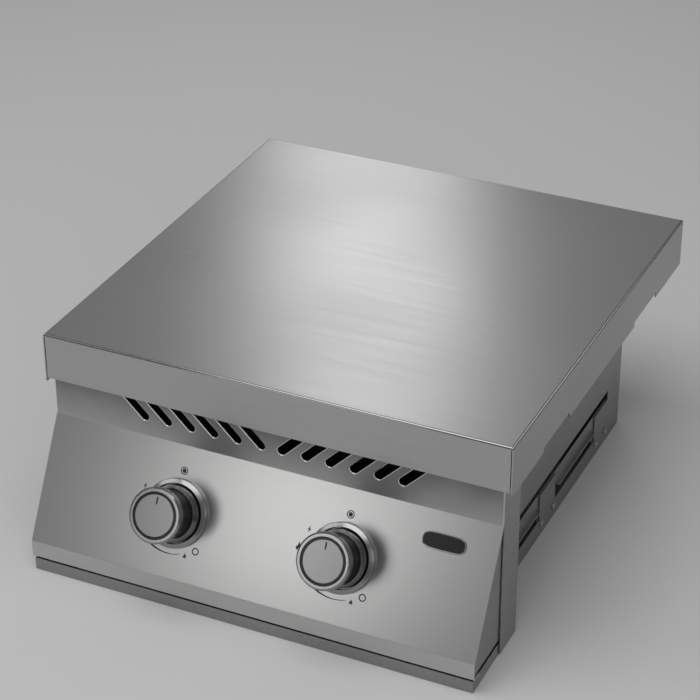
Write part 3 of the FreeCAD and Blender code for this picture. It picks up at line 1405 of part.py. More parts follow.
def make_electrode(name, side):
    """A ceramic rod through the deck with a wire bent towards the burner's edge."""
    top = "well_floor + electrode_above"
    rod_part = turned(f"electrode_rod_{name}", [
        ("0", "well_under - electrode_below"), ("electrode_wire", "well_under - electrode_below"),
        ("electrode_wire", "well_under - electrode_below + 4"),
        ("electrode_radius", "well_under - electrode_below + 4"),
        ("electrode_radius", "well_under - cup_flange"), ("electrode_collar", "well_under - cup_flange"),
        ("electrode_collar", "well_under"), ("electrode_radius", "well_under"),
        ("electrode_radius", f"{top} - 1"), ("electrode_radius - 1", top), ("electrode_wire", top),
        ("electrode_wire", f"{top} + electrode_tip"), ("0", f"{top} + electrode_tip")])
    wire = rod(f"electrode_wire_{name}", "1.2 * electrode_wire", "electrode_wire_length",
               ("0", "0", f"{top} + electrode_tip - 1.5 * electrode_wire"))
    wire.Placement = FreeCAD.Placement(
        FreeCAD.Vector(), FreeCAD.Rotation(FreeCAD.Vector(-1, side, 0), 90))
    bind(wire, Placement__Rotation__Axis__x="-cos(electrode_angle)",
         Placement__Rotation__Axis__y=f"{side} * sin(electrode_angle)")
    electrode = fuse(f"electrode_whole_{name}", [rod_part, wire])
    place(electrode, f"{side} * (burner_offset - electrode_side)", "-electrode_front")
    node(electrode, f"electrode_{name}")


def make_flame_ring(name):
    """A ring with a throat below and a crown of flame ports above."""
    outer = "collar_radius"
    body = turned(f"flame_ring_{name}", [
        ("throat_radius", "ring_foot - throat_length"),
        ("throat_radius + throat_wall", "ring_foot - throat_length"),
        ("throat_radius + throat_wall", "ring_foot"),
        ("collar_radius - collar_wall - 4", "ring_foot"),
        ("collar_radius - collar_wall - 4", "ring_foot - ring_spigot"),
        ("collar_radius - collar_wall - rest_gap", "ring_foot - ring_spigot"),
        ("collar_radius - collar_wall - rest_gap", "ring_foot"),
        ("ring_flange_radius", "ring_foot"), ("ring_flange_radius", "ring_foot + ring_flange"),
        (outer, "ring_foot + ring_flange"), (outer, "ring_top"), (f"{outer} - ring_wall", "ring_top"),
        (f"{outer} - ring_wall", "ring_foot + ring_flange"),
        ("throat_radius + throat_wall", "ring_foot + ring_flange"),
        ("throat_radius", "ring_foot + 1")])
    port = rectangles(body, f"port_{name}", "YZ_Plane", "0", [
        ("-port_width / 2", "ring_top - port_height", "port_width / 2", "ring_top + 1")])
    first = pocket(body, port, "cap_radius", downwards=False)
    pattern = body.newObject("PartDesign::PolarPattern", f"ports_{name}")
    pattern.Originals = [first]
    pattern.Axis = (next(item for item in body.Origin.OriginFeatures if item.Role == "Z_Axis"), [""])
    pattern.Angle = 360
    bind(pattern, Occurrences="port_count")
    body.Tip = pattern
    doc.recompute()
    return body


def make_burner_screws():
    """Screws down through the deck into each burner's flange."""
    screws = []
    for name, side in SIDES.items():
        for index, (x, y) in enumerate(burner_screw_places(side)):
            label = f"burner_screw_{name}_{index}"
            screws.append(fuse(label, [
                rod(f"{label}_shank", "screw_radius", "burner_screw_length",
                    (x, y, "well_floor - burner_screw_length")),
                rod(f"{label}_head", "screw_head", "screw_head_height", (x, y, "well_floor"))]))
    node(group("burner_screw_set", screws), "burner_screws")


# Gas tubes and ignition leads

def rounded_path(points, radii):
    """A wire of straight runs joined by tangent arcs, one radius for each inner point."""
    edges = []
    start = points[0]
    for index in range(1, len(points) - 1):
        corner = points[index]
        before = (points[index - 1] - corner).normalize()
        after = (points[index + 1] - corner).normalize()
        half_turn = (math.pi - before.getAngle(after)) / 2
        reach = radii[index - 1] * math.tan(half_turn)
        arc_start = corner + before * reach
        arc_end = corner + after * reach
        inward = (before + after).normalize()
        depth = radii[index - 1] / math.cos(half_turn) - radii[index - 1]
        edges.append(Part.LineSegment(start, arc_start).toShape())
        edges.append(Part.Arc(arc_start, corner + inward * depth, arc_end).toShape())
        start = arc_end
    edges.append(Part.LineSegment(start, points[-1]).toShape())
    return Part.Wire(edges)


def swept_round(path, radius):
    first = path.Edges[0]
    direction = first.tangentAt(first.FirstParameter)
    profile = Part.Wire([Part.Circle(first.valueAt(first.FirstParameter), direction, radius).toShape()])
    return path.makePipeShell([profile], True, False)


def on_panel(side, up_slope, outwards):
    """A point beside a knob's axis: distance up the slope and outwards from the face."""
    slope = math.radians(number("panel_slope"))
    y = -number("knob_front") + up_slope * math.sin(slope) - outwards * math.cos(slope)
    z = number("knob_height") + up_slope * math.cos(slope) + outwards * math.sin(slope)
    return FreeCAD.Vector(side * number("knob_offset"), y, z)


def make_gas_tube(name, side):
    """The tube from a valve's outlet, up and back through the wall, to its burner."""
    reach = number("outlet_reach - socket_depth")
    valve_end = on_panel(side, reach, -number("outlet_depth"))
    slope = math.radians(number("panel_slope"))
    level = number("boss_level")
    climb = (level - valve_end.z) / math.cos(slope)
    bend = on_panel(side, reach + climb, -number("outlet_depth"))
    burner_x = side * number("burner_offset")
    cup_end = FreeCAD.Vector(burner_x, -number("boss_reach") + number("tube_seat"), level)
    first_turn = FreeCAD.Vector(bend.x, bend.y + 0.35 * (cup_end.y - bend.y), level)
    second_turn = FreeCAD.Vector(burner_x, bend.y + 0.6 * (cup_end.y - bend.y), level)
    radius = number("tube_bend")
    path = rounded_path([valve_end, bend, first_turn, second_turn, cup_end],
                        [radius, 2 * radius, 2 * radius])
    outside = swept_round(path, number("tube_radius"))
    inside = swept_round(path, number("tube_radius") - number("tube_wall"))
    tube = doc.addObject("Part::Feature", f"gas_tube_solid_{name}")
    tube.Shape = outside.cut(inside)
    node(tube, f"gas_tube_{name}")


def make_tube_nuts():
    """A nut at each end of each gas tube."""
    nuts = []
    for name, side in SIDES.items():
        at_cup = (f"{side} * burner_offset", "-boss_reach - nut_length", "boss_level")
        nuts.append(cut(f"cup_nut_{name}",
                        hexagon(f"cup_nut_hex_{name}", "nut_radius", "nut_length", at_cup, "Y"),
                        [rod(f"cup_nut_bore_{name}", "tube_radius + running_clearance", "nut_length",
                             at_cup, "Y")]))
        at_valve = ("0", "outlet_reach", "-outlet_depth")
        valve_nut = cut(f"valve_nut_{name}",
                        hexagon(f"valve_nut_hex_{name}", "nut_radius", "nut_length", at_valve, "Y"),
                        [rod(f"valve_nut_bore_{name}", "tube_radius + running_clearance", "nut_length",
                             at_valve, "Y")])
        seat_on_panel(valve_nut, f"{side} * knob_offset")
        nuts.append(valve_nut)
    node(group("tube_nut_set", nuts), "tube_nuts")


def make_spark_module():
    """The spark module with two terminals, and the battery holder beside it."""
    rear = "-module_rear"
    front = "-module_rear - module_depth"
    case = span("module_case", ("-module_half_width", front, "housing_gauge"),
                ("module_half_width", rear, "housing_gauge + module_height"))
    members = [case]
    for name, side in SIDES.items():
        members.append(rod(f"terminal_{name}", "terminal_radius", "terminal_height + 1",
                           (f"{side} * terminal_offset", "-module_rear - module_depth / 2",
                            "housing_gauge + module_height - 1")))
    node(fuse("module_solid", members), "spark_module")
    holder = span("battery_case", ("battery_offset", "-module_rear - battery_depth", "housing_gauge"),
                  ("battery_offset + battery_length", rear, "housing_gauge + battery_height"))
    node(holder, "battery_holder")


def make_lead(name, side):
    """The insulated lead from the spark module through the wall to an electrode."""
    start = FreeCAD.Vector(
        side * number("terminal_offset"), -number("module_rear") - number("module_depth") / 2,
        number("housing_gauge + module_height + terminal_height"))
    end = FreeCAD.Vector(side * number("burner_offset - electrode_side"), -number("electrode_front"),
                         number("well_under - electrode_below"))
    level = number("lead_level")
    sag = number("lead_sag")
    shift = side * number("lead_shift")
    bend = number("lead_bend")
    points = [start,
              FreeCAD.Vector(start.x, start.y, level),
              FreeCAD.Vector(start.x + shift, -number("half_box - lead_entry"), level - sag / 3),
              FreeCAD.Vector(start.x + 3 * shift, -number("half_box - lead_run"), level - sag),
              FreeCAD.Vector(end.x, end.y - number("lead_turn"), level - sag * 2 / 3),
              FreeCAD.Vector(end.x, end.y, level + sag / 3),
              end]
    radii = [bend, 3 * bend, 3 * bend, 1.4 * bend, bend / 2]
    lead = doc.addObject("Part::Feature", f"lead_solid_{name}")
    lead.Shape = swept_round(rounded_path(points, radii), number("lead_radius"))
    node(lead, f"ignition_lead_{name}")


def build_all():
    fill_sheet()
    make_lid()
    make_deck()
    make_seal()
    make_box()
    make_base_pan()
    make_pan_screws()
    make_control_panel()
    make_housing()
    make_housing_floor()
    make_badge()
    make_valve_screws()
    make_manifold()
    make_brackets()
    make_inlet()
    make_burner_screws()
    make_tube_nuts()
    make_spark_module()
    for name, side in SIDES.items():
        make_cheek(name, side)
        make_knob(name, side)
        make_valve(name, side)
        make_clamp(name, side)
        make_burner(name, side)
        make_gas_tube(name, side)
        make_grate(name, side)
        make_lead(name, side)
    doc.recompute()


def check_all():
    """Stops the run if any object failed or any piece is empty or not valid."""
    for thing in doc.Objects:
        if "Invalid" in thing.State or "Error" in thing.State:
            raise RuntimeError(f"{thing.Name} failed: {thing.State}")
    for name, thing in pieces.items():
        shape = thing.Shape
        if shape.isNull() or not shape.isValid() or not shape.Solids:
            raise RuntimeError(f"{name} has no valid solid")


def write_all():
    os.makedirs("parts", exist_ok=True)
    for name, thing in pieces.items():
        thing.Shape.exportStep(f"parts/{name}.step")
        print(f"{name}: {len(thing.Shape.Solids)} solids, {thing.Shape.Volume / 1000:.2f} cm3")


build_all()
check_all()
write_all()
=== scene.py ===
"""Looks of a built in gas side burner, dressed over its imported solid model.

All sizes of the pieces are in millimetres in the classes below and become metres when a
piece is made. The frame is the model's own: the origin is the middle of the burner box's
underside, +Z is up, the control panel faces -Y and +X is to the right.
"""

from __future__ import annotations

import json
import logging
import math
from contextlib import contextmanager
from dataclasses import dataclass, field, replace
from enum import Enum
from functools import partial
from typing import Callable, Iterable, Iterator, Sequence

import bmesh
import bpy
from mathutils import Matrix, Vector

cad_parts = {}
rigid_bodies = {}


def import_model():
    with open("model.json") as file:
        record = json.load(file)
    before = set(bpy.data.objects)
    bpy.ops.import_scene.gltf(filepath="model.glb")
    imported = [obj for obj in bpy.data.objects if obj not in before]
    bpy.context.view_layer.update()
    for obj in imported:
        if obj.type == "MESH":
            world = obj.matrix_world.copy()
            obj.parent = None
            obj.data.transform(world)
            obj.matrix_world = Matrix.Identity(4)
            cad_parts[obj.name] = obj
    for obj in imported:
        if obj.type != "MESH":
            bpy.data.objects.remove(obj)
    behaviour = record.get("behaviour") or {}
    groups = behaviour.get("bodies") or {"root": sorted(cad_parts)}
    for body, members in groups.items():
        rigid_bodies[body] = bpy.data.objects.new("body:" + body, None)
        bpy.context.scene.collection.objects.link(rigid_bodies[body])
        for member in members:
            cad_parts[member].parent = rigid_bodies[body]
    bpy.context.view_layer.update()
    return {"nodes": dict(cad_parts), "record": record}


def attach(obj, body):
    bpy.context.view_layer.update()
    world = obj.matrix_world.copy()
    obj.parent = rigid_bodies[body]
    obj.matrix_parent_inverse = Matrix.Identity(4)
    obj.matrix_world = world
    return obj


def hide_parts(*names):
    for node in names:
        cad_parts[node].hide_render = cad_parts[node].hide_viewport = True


LOG = logging.getLogger("side_burner")
MM = 0.001
MERGE = 2e-6                    # points nearer than this, in metres, are one
FACING = 0.9                    # a normal's part along an axis that it faces
SQUARE = 0.99                   # and along an axis that it is square to
SMOOTH = 50.0                   # faces at less than this, in degrees, are shaded as one
FINE, SLOW = 0.6, 0.4           # shares of fine grain and slow unevenness in a tone
DARKEST, LIGHTEST = 0.3, 0.7    # the tones that most of a surface lies between
SIDES = {"left": -1.0, "right": 1.0}
Point2 = tuple[float, float]
Piece = bpy.types.Object
Socket = bpy.types.NodeSocket
Tree = bpy.types.NodeTree


class Body(str, Enum):
    """Names of the bodies that new pieces ride on."""

    BASE = "burner_base"
    LID = "lid"
    KNOB = "knob_{side}"

    def at(self, side: str = "") -> str:
        """Give the body's name in the model, for a side where it exists twice."""
        return self.value.format(side=side)


class Grain(Enum):
    """The direction that brushing lines run in."""

    ACROSS = "x"
    UPRIGHT = "z"
    NONE = "none"


class Part(Enum):
    """The parts of a mesh that are selected."""

    FACE = "FACE"
    EDGE = "EDGE"


# Modelling by hand

def activate(*pieces: Piece) -> None:
    """Select some pieces alone, out of edit mode, and make the first of them active.

    Args:
        pieces: the pieces, or none to deselect everything.
    """
    if bpy.context.object and bpy.context.object.mode != "OBJECT":
        bpy.ops.object.mode_set(mode="OBJECT")
    for item in bpy.data.objects:
        item.select_set(False)
    for piece in pieces:
        piece.select_set(True)
    bpy.context.view_layer.objects.active = pieces[0] if pieces else None


def name_piece(name: str) -> Piece:
    """Name the active piece.

    Args:
        name: the piece's name.

    Returns:
        The piece.
    """
    piece = bpy.context.object
    piece.name = name
    piece.data.name = name
    return piece


@contextmanager
def editing(piece: Piece) -> Iterator[None]:
    """Hold a piece in edit mode, at first with nothing selected.

    Args:
        piece: the piece.

    Returns:
        The context, which goes back to object mode at its end.
    """
    activate(piece)
    bpy.ops.object.mode_set(mode="EDIT")
    bpy.ops.mesh.select_all(action="DESELECT")
    yield
    bpy.ops.object.mode_set(mode="OBJECT")


def select(piece: Piece, kind: Part, test: Callable[..., bool]) -> None:
    """Select the faces or the edges that pass a test, in edit mode.

    Args:
        piece: the piece in edit mode.
        kind: faces or edges.
        test: says whether one of them is wanted.
    """
    bpy.ops.mesh.select_mode(type=kind.value)
    mesh = bmesh.from_edit_mesh(piece.data)
    for part in mesh.faces if kind is Part.FACE else mesh.edges:
        part.select_set(test(part))
    mesh.select_flush_mode()
    bmesh.update_edit_mesh(piece.data)


def select_all() -> None:
    """Select all that is in edit mode."""
    bpy.ops.mesh.select_all(action="SELECT")


def face_outwards() -> None:
    """Turn all the faces in edit mode outwards."""
    select_all()
    bpy.ops.mesh.normals_make_consistent(inside=False)


def merge_doubles() -> None:
    """Merge all the points in edit mode that lie on each other."""
    select_all()
    bpy.ops.mesh.remove_doubles(threshold=MERGE)


def bevel(offset: float, segments: int) -> None:
    """Round the selected edges, from an offset in millimetres on both sides."""
    bpy.ops.mesh.bevel(offset=offset * MM, segments=segments, affect="EDGES")


def middle(edge: bmesh.types.BMEdge) -> Vector:
    """Give an edge's middle point in millimetres."""
    return (edge.verts[0].co + edge.verts[1].co) / 2 / MM


def modify(piece: Piece, kind: str, **settings: object) -> None:
    """Add a modifier to a piece and apply it.

    Args:
        piece: the piece.
        kind: the modifier's type.
        settings: its settings by name.
    """
    modifier = piece.modifiers.new(kind.lower(), kind)
    for key, value in settings.items():
        setattr(modifier, key, value)
    activate(piece)
    bpy.ops.object.modifier_apply(modifier=modifier.name)


def thicken(sheet: Piece, gauge: float) -> None:
    """Give an open sheet its gauge in millimetres, inwards from its outer face."""
    modify(sheet, "SOLIDIFY", thickness=gauge * MM, offset=-1.0, use_even_offset=True)


def crisp(piece: Piece, width: float, angle: float, segments: int = 2) -> None:
    """Round a piece's sharp edges, so that they catch the light, and keep its flats flat.

    Args:
        piece: the piece.
        width: the rounding's width in millimetres.
        angle: edges sharper than this many degrees are rounded.
        segments: the rounding's steps.
    """
    modify(piece, "BEVEL", width=width * MM, segments=segments, limit_method="ANGLE",
           angle_limit=math.radians(angle))
    bpy.ops.object.shade_smooth_by_angle(angle=math.radians(SMOOTH))
    modify(piece, "WEIGHTED_NORMAL", keep_sharp=True, weight=100)


def settle(piece: Piece, place: Matrix) -> None:
    """Move a piece to its place and write that place into its mesh.

    Args:
        piece: the piece, modelled at the origin.
        place: where it goes.
    """
    piece.matrix_world = place
    activate(piece)
    bpy.ops.object.transform_apply()


def add_block(name: str, low: Sequence[float], high: Sequence[float]) -> Piece:
    """Add a block between two corners.

    Args:
        name: the piece's name.
        low: its lowest corner in millimetres.
        high: its highest corner in millimetres.

    Returns:
        The block, its place in its mesh.
    """
    activate()
    centre = [(a + b) / 2 * MM for a, b in zip(low, high)]
    size = [(b - a) * MM for a, b in zip(low, high)]
    bpy.ops.mesh.primitive_cube_add(size=1.0, location=centre, scale=size)
    bpy.ops.object.transform_apply()
    return name_piece(name)


def add_outline(name: str, points: Sequence[Vector], filled: bool) -> Piece:
    """Add a closed outline from a circle whose points are moved.

    Args:
        name: the piece's name.
        points: the outline's points, in metres.
        filled: whether the outline gets a face.

    Returns:
        The piece.
    """
    activate()
    fill = "NGON" if filled else "NOTHING"
    bpy.ops.mesh.primitive_circle_add(vertices=len(points), radius=1.0, fill_type=fill)
    piece = name_piece(name)
    for vertex, point in zip(piece.data.vertices, points):
        vertex.co = point
    return piece


def add_turned(name: str, profile: Sequence[Point2], steps: int) -> Piece:
    """Spin a profile about the Z axis.

    Args:
        name: the piece's name.
        profile: a closed profile of radius and height in millimetres.
        steps: how many steps make the round.

    Returns:
        The closed turned piece, upright at the origin.
    """
    points = [Vector((radius * MM, 0.0, height * MM)) for radius, height in profile]
    piece = add_outline(name, points, filled=False)
    with editing(piece):
        select_all()
        bpy.ops.mesh.spin(steps=steps, angle=math.tau, center=(0, 0, 0), axis=(0, 0, 1))
        merge_doubles()
        bpy.ops.mesh.dissolve_degenerate(threshold=MERGE / 2)
        bpy.ops.mesh.normals_make_consistent(inside=False)
    return piece


def add_plate(name: str, corners: Sequence[Point2], thickness: float) -> Piece:
    """Add a flat plate of any outline that stands on height zero.

    Args:
        name: the piece's name.
        corners: its outline in millimetres.
        thickness: its thickness in millimetres.

    Returns:
        The plate.
    """
    points = [Vector((x * MM, y * MM, 0.0)) for x, y in corners]
    piece = add_outline(name, points, filled=True)
    with editing(piece):
        select_all()
        rise = {"value": (0, 0, thickness * MM)}
        bpy.ops.mesh.extrude_region_move(TRANSFORM_OT_translate=rise)
        face_outwards()
    return piece


def arc(centre: Sequence[float], radius: float, start: float, turn: float,
        steps: int) -> list[Point2]:
    """Give points along an arc from an angle, counter-clockwise, its ends included."""
    angles = (start + turn * index / steps for index in range(steps + 1))
    return [(centre[0] + radius * math.cos(a), centre[1] + radius * math.sin(a)) for a in angles]


def circle(radius: float, steps: int) -> list[Point2]:
    """Give the outline of a circle round the origin."""
    return arc((0.0, 0.0), radius, 0.0, math.tau, steps)[:-1]


def slot_outline(foot: Sequence[float], head: Sequence[float], radius: float,
                 steps: int) -> list[Point2]:
    """Give the outline of a slot round two centres, with some steps for each round end."""
    along = math.atan2(head[1] - foot[1], head[0] - foot[0])
    return [*arc(foot, radius, along + math.pi / 2, math.pi, steps),
            *arc(head, radius, along - math.pi / 2, math.pi, steps)]


def join(name: str, members: Iterable[Piece]) -> Piece:
    """Join pieces into one.

    Args:
        name: the joined piece's name.
        members: the pieces.

    Returns:
        The joined piece.
    """
    activate(*members)
    bpy.ops.object.join()
    return name_piece(name)


def put_on(piece: Piece, body: str, slot: str, *replaces: str) -> None:
    """Put a finished piece on its body, in place of the solids that it stands for.

    Args:
        piece: the piece, its place in its mesh and its materials given.
        body: the body it rides on.
        slot: the record's material slot; not used.
        replaces: the solids that it stands for, if any.
    """
    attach(piece, body)
    if replaces:
        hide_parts(*replaces)
    LOG.info("%s: %d faces on %s", piece.name, len(piece.data.polygons), body)


# Materials

@dataclass
class Wiring:
    """A node tree with short ways to add and join nodes."""

    tree: Tree

    def add(self, kind: str, inputs: dict[str | int, object] | None = None,
            **settings: object) -> bpy.types.Node:
        """Add a node, set its properties and then feed its inputs.

        Args:
            kind: the node's type name.
            inputs: a socket or a value for each input that is fed.
            settings: the node's properties by name.

        Returns:
            The node.
        """
        made = self.tree.nodes.new(kind)
        for key, value in settings.items():
            setattr(made, key, value)
        self.feed(made, inputs or {})
        return made

    def feed(self, node: bpy.types.Node, inputs: dict[str | int, object]) -> None:
        """Feed a node's inputs.

        Args:
            node: the node.
            inputs: a socket or a value for each input, by its name or number.
        """
        for key, value in inputs.items():
            if isinstance(value, Socket):
                self.tree.links.new(value, node.inputs[key])
            else:
                node.inputs[key].default_value = value

    def math(self, operation: str, one: object, other: object) -> Socket:
        """Work out a value from two others, each a socket or a number."""
        return self.add("ShaderNodeMath", {0: one, 1: other}, operation=operation).outputs[0]

    def remap(self, value: Socket, low: float, high: float, from_low: float = 0.0,
              from_high: float = 1.0) -> Socket:
        """Stretch a value from its own range to another and hold it there."""
        return self.add("ShaderNodeMapRange", {
            "Value": value, "From Min": from_low, "From Max": from_high,
            "To Min": low, "To Max": high}).outputs["Result"]

    def noise(self, vector: Socket, scale: float | Socket, detail: float) -> Socket:
        """Add a noise over a place, with its scale and detail."""
        return self.add("ShaderNodeTexNoise", {
            "Vector": vector, "Scale": scale, "Detail": detail}).outputs["Fac"]

    def blend(self, factor: Socket, one: object, other: object) -> Socket:
        """Mix two colours by a factor, each a socket or a colour with its alpha."""
        return self.add("ShaderNodeMix", {"Factor": factor, "A": one, "B": other},
                        data_type="RGBA").outputs["Result"]


def new_group(name: str, inputs: dict[str, float],
              outputs: Sequence[str]) -> tuple[Wiring, bpy.types.Node, bpy.types.Node]:
    """Start a shader node group with a vector input, value inputs and value outputs.

    Args:
        name: the group's name.
        inputs: its value inputs with their first values.
        outputs: its value outputs.

    Returns:
        The group's wiring, its input node and its output node.
    """
    tree = bpy.data.node_groups.new(name, "ShaderNodeTree")
    tree.interface.new_socket("Vector", in_out="INPUT", socket_type="NodeSocketVector")
    for key, value in inputs.items():
        socket = tree.interface.new_socket(key, in_out="INPUT", socket_type="NodeSocketFloat")
        socket.default_value = value
    for key in outputs:
        tree.interface.new_socket(key, in_out="OUTPUT", socket_type="NodeSocketFloat")
    wiring = Wiring(tree)
    return wiring, wiring.add("NodeGroupInput"), wiring.add("NodeGroupOutput")


def brushing_group() -> Tree:
    """Make the group that draws brushing lines along X of the vector that it gets.

    Returns:
        The group: "Fine" are thin grooves and "Drift" is slow unevenness.
    """
    layers = ((0.55, 1.0, 1.0), (0.3, 0.6, 0.31), (0.15, 0.4, 0.09))  # share, length, fineness
    wiring, source, sink = new_group("brushing", {"Length": 6.0, "Fineness": 1500.0},
                                     ("Fine", "Drift"))
    vector = source.outputs["Vector"]
    parts = wiring.add("ShaderNodeSeparateXYZ", {0: vector}).outputs
    total: float | Socket = 0.0
    for share, length, fineness in layers:
        along = wiring.math("MULTIPLY", source.outputs["Length"], length)
        across = wiring.math("MULTIPLY", source.outputs["Fineness"], fineness)
        scales = {"X": along, "Y": across, "Z": across}
        stretched = wiring.add("ShaderNodeCombineXYZ", {
            axis: wiring.math("MULTIPLY", parts[axis], scale) for axis, scale in scales.items()})
        lines = wiring.noise(stretched.outputs[0], 1.0, 2.0)
        total = wiring.math("ADD", total, wiring.math("MULTIPLY", lines, share))
    wiring.feed(sink, {"Fine": total, "Drift": wiring.noise(vector, 5.0, 1.0)})
    return wiring.tree


def speckle_group() -> Tree:
    """Make the group that draws the grain of a cast, moulded or blasted surface.

    Returns:
        The group: "Fine" is the grain and "Drift" is slow unevenness.
    """
    wiring, source, sink = new_group("speckle", {"Size": 900.0}, ("Fine", "Drift"))
    vector = source.outputs["Vector"]
    wiring.feed(sink, {"Fine": wiring.noise(vector, source.outputs["Size"], 3.0),
                       "Drift": wiring.noise(vector, 14.0, 2.0)})
    return wiring.tree


def painted_shade_group() -> Tree:
    """Make the group that masks cloudy painted shade above a height, the lid skirt's shadow.

    Returns:
        The group: "Mask" grows from 0 at Low to 1 at High, both heights in metres.
    """
    wiring, source, sink = new_group("heat_stain", {"Low": 0.0, "High": 1.0}, ("Mask",))
    vector = source.outputs["Vector"]
    height = wiring.add("ShaderNodeSeparateXYZ", {0: vector}).outputs["Z"]
    rise = wiring.math("SUBTRACT", height, source.outputs["Low"])
    span = wiring.math("SUBTRACT", source.outputs["High"], source.outputs["Low"])
    share = wiring.remap(wiring.math("DIVIDE", rise, span), 0.0, 1.0)
    cloud = wiring.remap(wiring.noise(vector, 22.0, 3.0), 0.75, 1.0, 0.3, 0.6)
    wiring.feed(sink, {"Mask": wiring.math("MULTIPLY", share, cloud)})
    return wiring.tree


@dataclass(frozen=True)
class Finish:
    """A surface finish with grain in its colour, gloss and relief.

    Attributes:
        name: the material's name.
        colour: its even colour.
        tint: the share by which the grain darkens and lightens it.
        rough: the roughness, and how far the grain moves it.
        size: how many specks or brushing lines a metre holds.
        relief: the grain's strength, and its depth in millimetres.
        metallic: 1 for bare metal.
        grain: which way brushing lines run, if there are any.
        length: how many lengths of brushing line a metre holds.
        coat: the share of clear coat.
        specular: the reflection of what isn't metal.
        painted_shade: the share of painted shade under the skirt, between two heights in
            millimetres.
    """

    name: str
    colour: tuple[float, float, float]
    tint: float
    rough: tuple[float, float]
    size: float
    relief: tuple[float, float]
    metallic: float = 1.0
    grain: Grain = Grain.NONE
    length: float = 9.0
    coat: float = 0.0
    specular: float = 0.5
    painted_shade: float = 0.0
    painted_shade_heights: tuple[float, float] = (142.0, 181.0)

    def build(self, groups: dict[str, Tree]) -> bpy.types.Material:
        """Make the material.

        Args:
            groups: the shared node groups by name.

        Returns:
            The material.
        """
        material = bpy.data.materials.new(self.name)
        material.use_nodes = True
        wiring = Wiring(material.node_tree)
        place = wiring.add("ShaderNodeTexCoord").outputs["Object"]
        fine, drift = self.draw_grain(wiring, groups, place)
        tone = wiring.math("ADD", wiring.math("MULTIPLY", fine, FINE),
                           wiring.math("MULTIPLY", drift, SLOW))
        colour = wiring.blend(wiring.remap(tone, 0.0, 1.0, DARKEST, LIGHTEST),
                              self.shade(1.0 - self.tint), self.shade(1.0 + self.tint))
        # Painted shade: darken a cloudy band up to the lid's skirt, as the skirt's shadow.
        if self.painted_shade:
            low, high = (height * MM for height in self.painted_shade_heights)
            effect = wiring.add("ShaderNodeGroup", {"Vector": place, "Low": low, "High": high},
                                node_tree=groups["heat_stain"])
            colour = wiring.blend(effect.outputs["Mask"], colour, self.shade(1.0 - self.painted_shade))
        rough, spread = self.rough
        strength, depth = self.relief
        bump = wiring.add("ShaderNodeBump", {
            "Strength": strength, "Distance": depth * MM, "Height": fine})
        wiring.feed(material.node_tree.nodes["Principled BSDF"], {
            "Base Color": colour,
            "Roughness": wiring.remap(tone, rough + spread, rough - spread, DARKEST, LIGHTEST),
            "Normal": bump.outputs["Normal"], "Metallic": self.metallic,
            "Specular IOR Level": self.specular, "Coat Weight": self.coat,
            "Coat Roughness": 0.12})
        return material

    def draw_grain(self, wiring: Wiring, groups: dict[str, Tree],
                   place: Socket) -> tuple[Socket, Socket]:
        """Add the brushing lines or the specks.

        Args:
            wiring: the material's wiring.
            groups: the shared node groups by name.
            place: the place on the object.

        Returns:
            The fine grain and the slow unevenness.
        """
        if self.grain is Grain.NONE:
            effect = wiring.add("ShaderNodeGroup", {"Size": self.size, "Vector": place},
                                node_tree=groups["speckle"])
        else:
            if self.grain is Grain.UPRIGHT:
                turned = (0.0, math.pi / 2, 0.0)
                place = wiring.add("ShaderNodeMapping", {
                    "Rotation": turned, "Vector": place}).outputs["Vector"]
            effect = wiring.add("ShaderNodeGroup", {
                "Length": self.length, "Fineness": self.size, "Vector": place},
                node_tree=groups["brushing"])
        return effect.outputs["Fine"], effect.outputs["Drift"]

    def shade(self, factor: float) -> tuple[float, float, float, float]:
        """Give the colour made lighter or darker, with its alpha."""
        return (*(min(1.0, part * factor) for part in self.colour), 1.0)


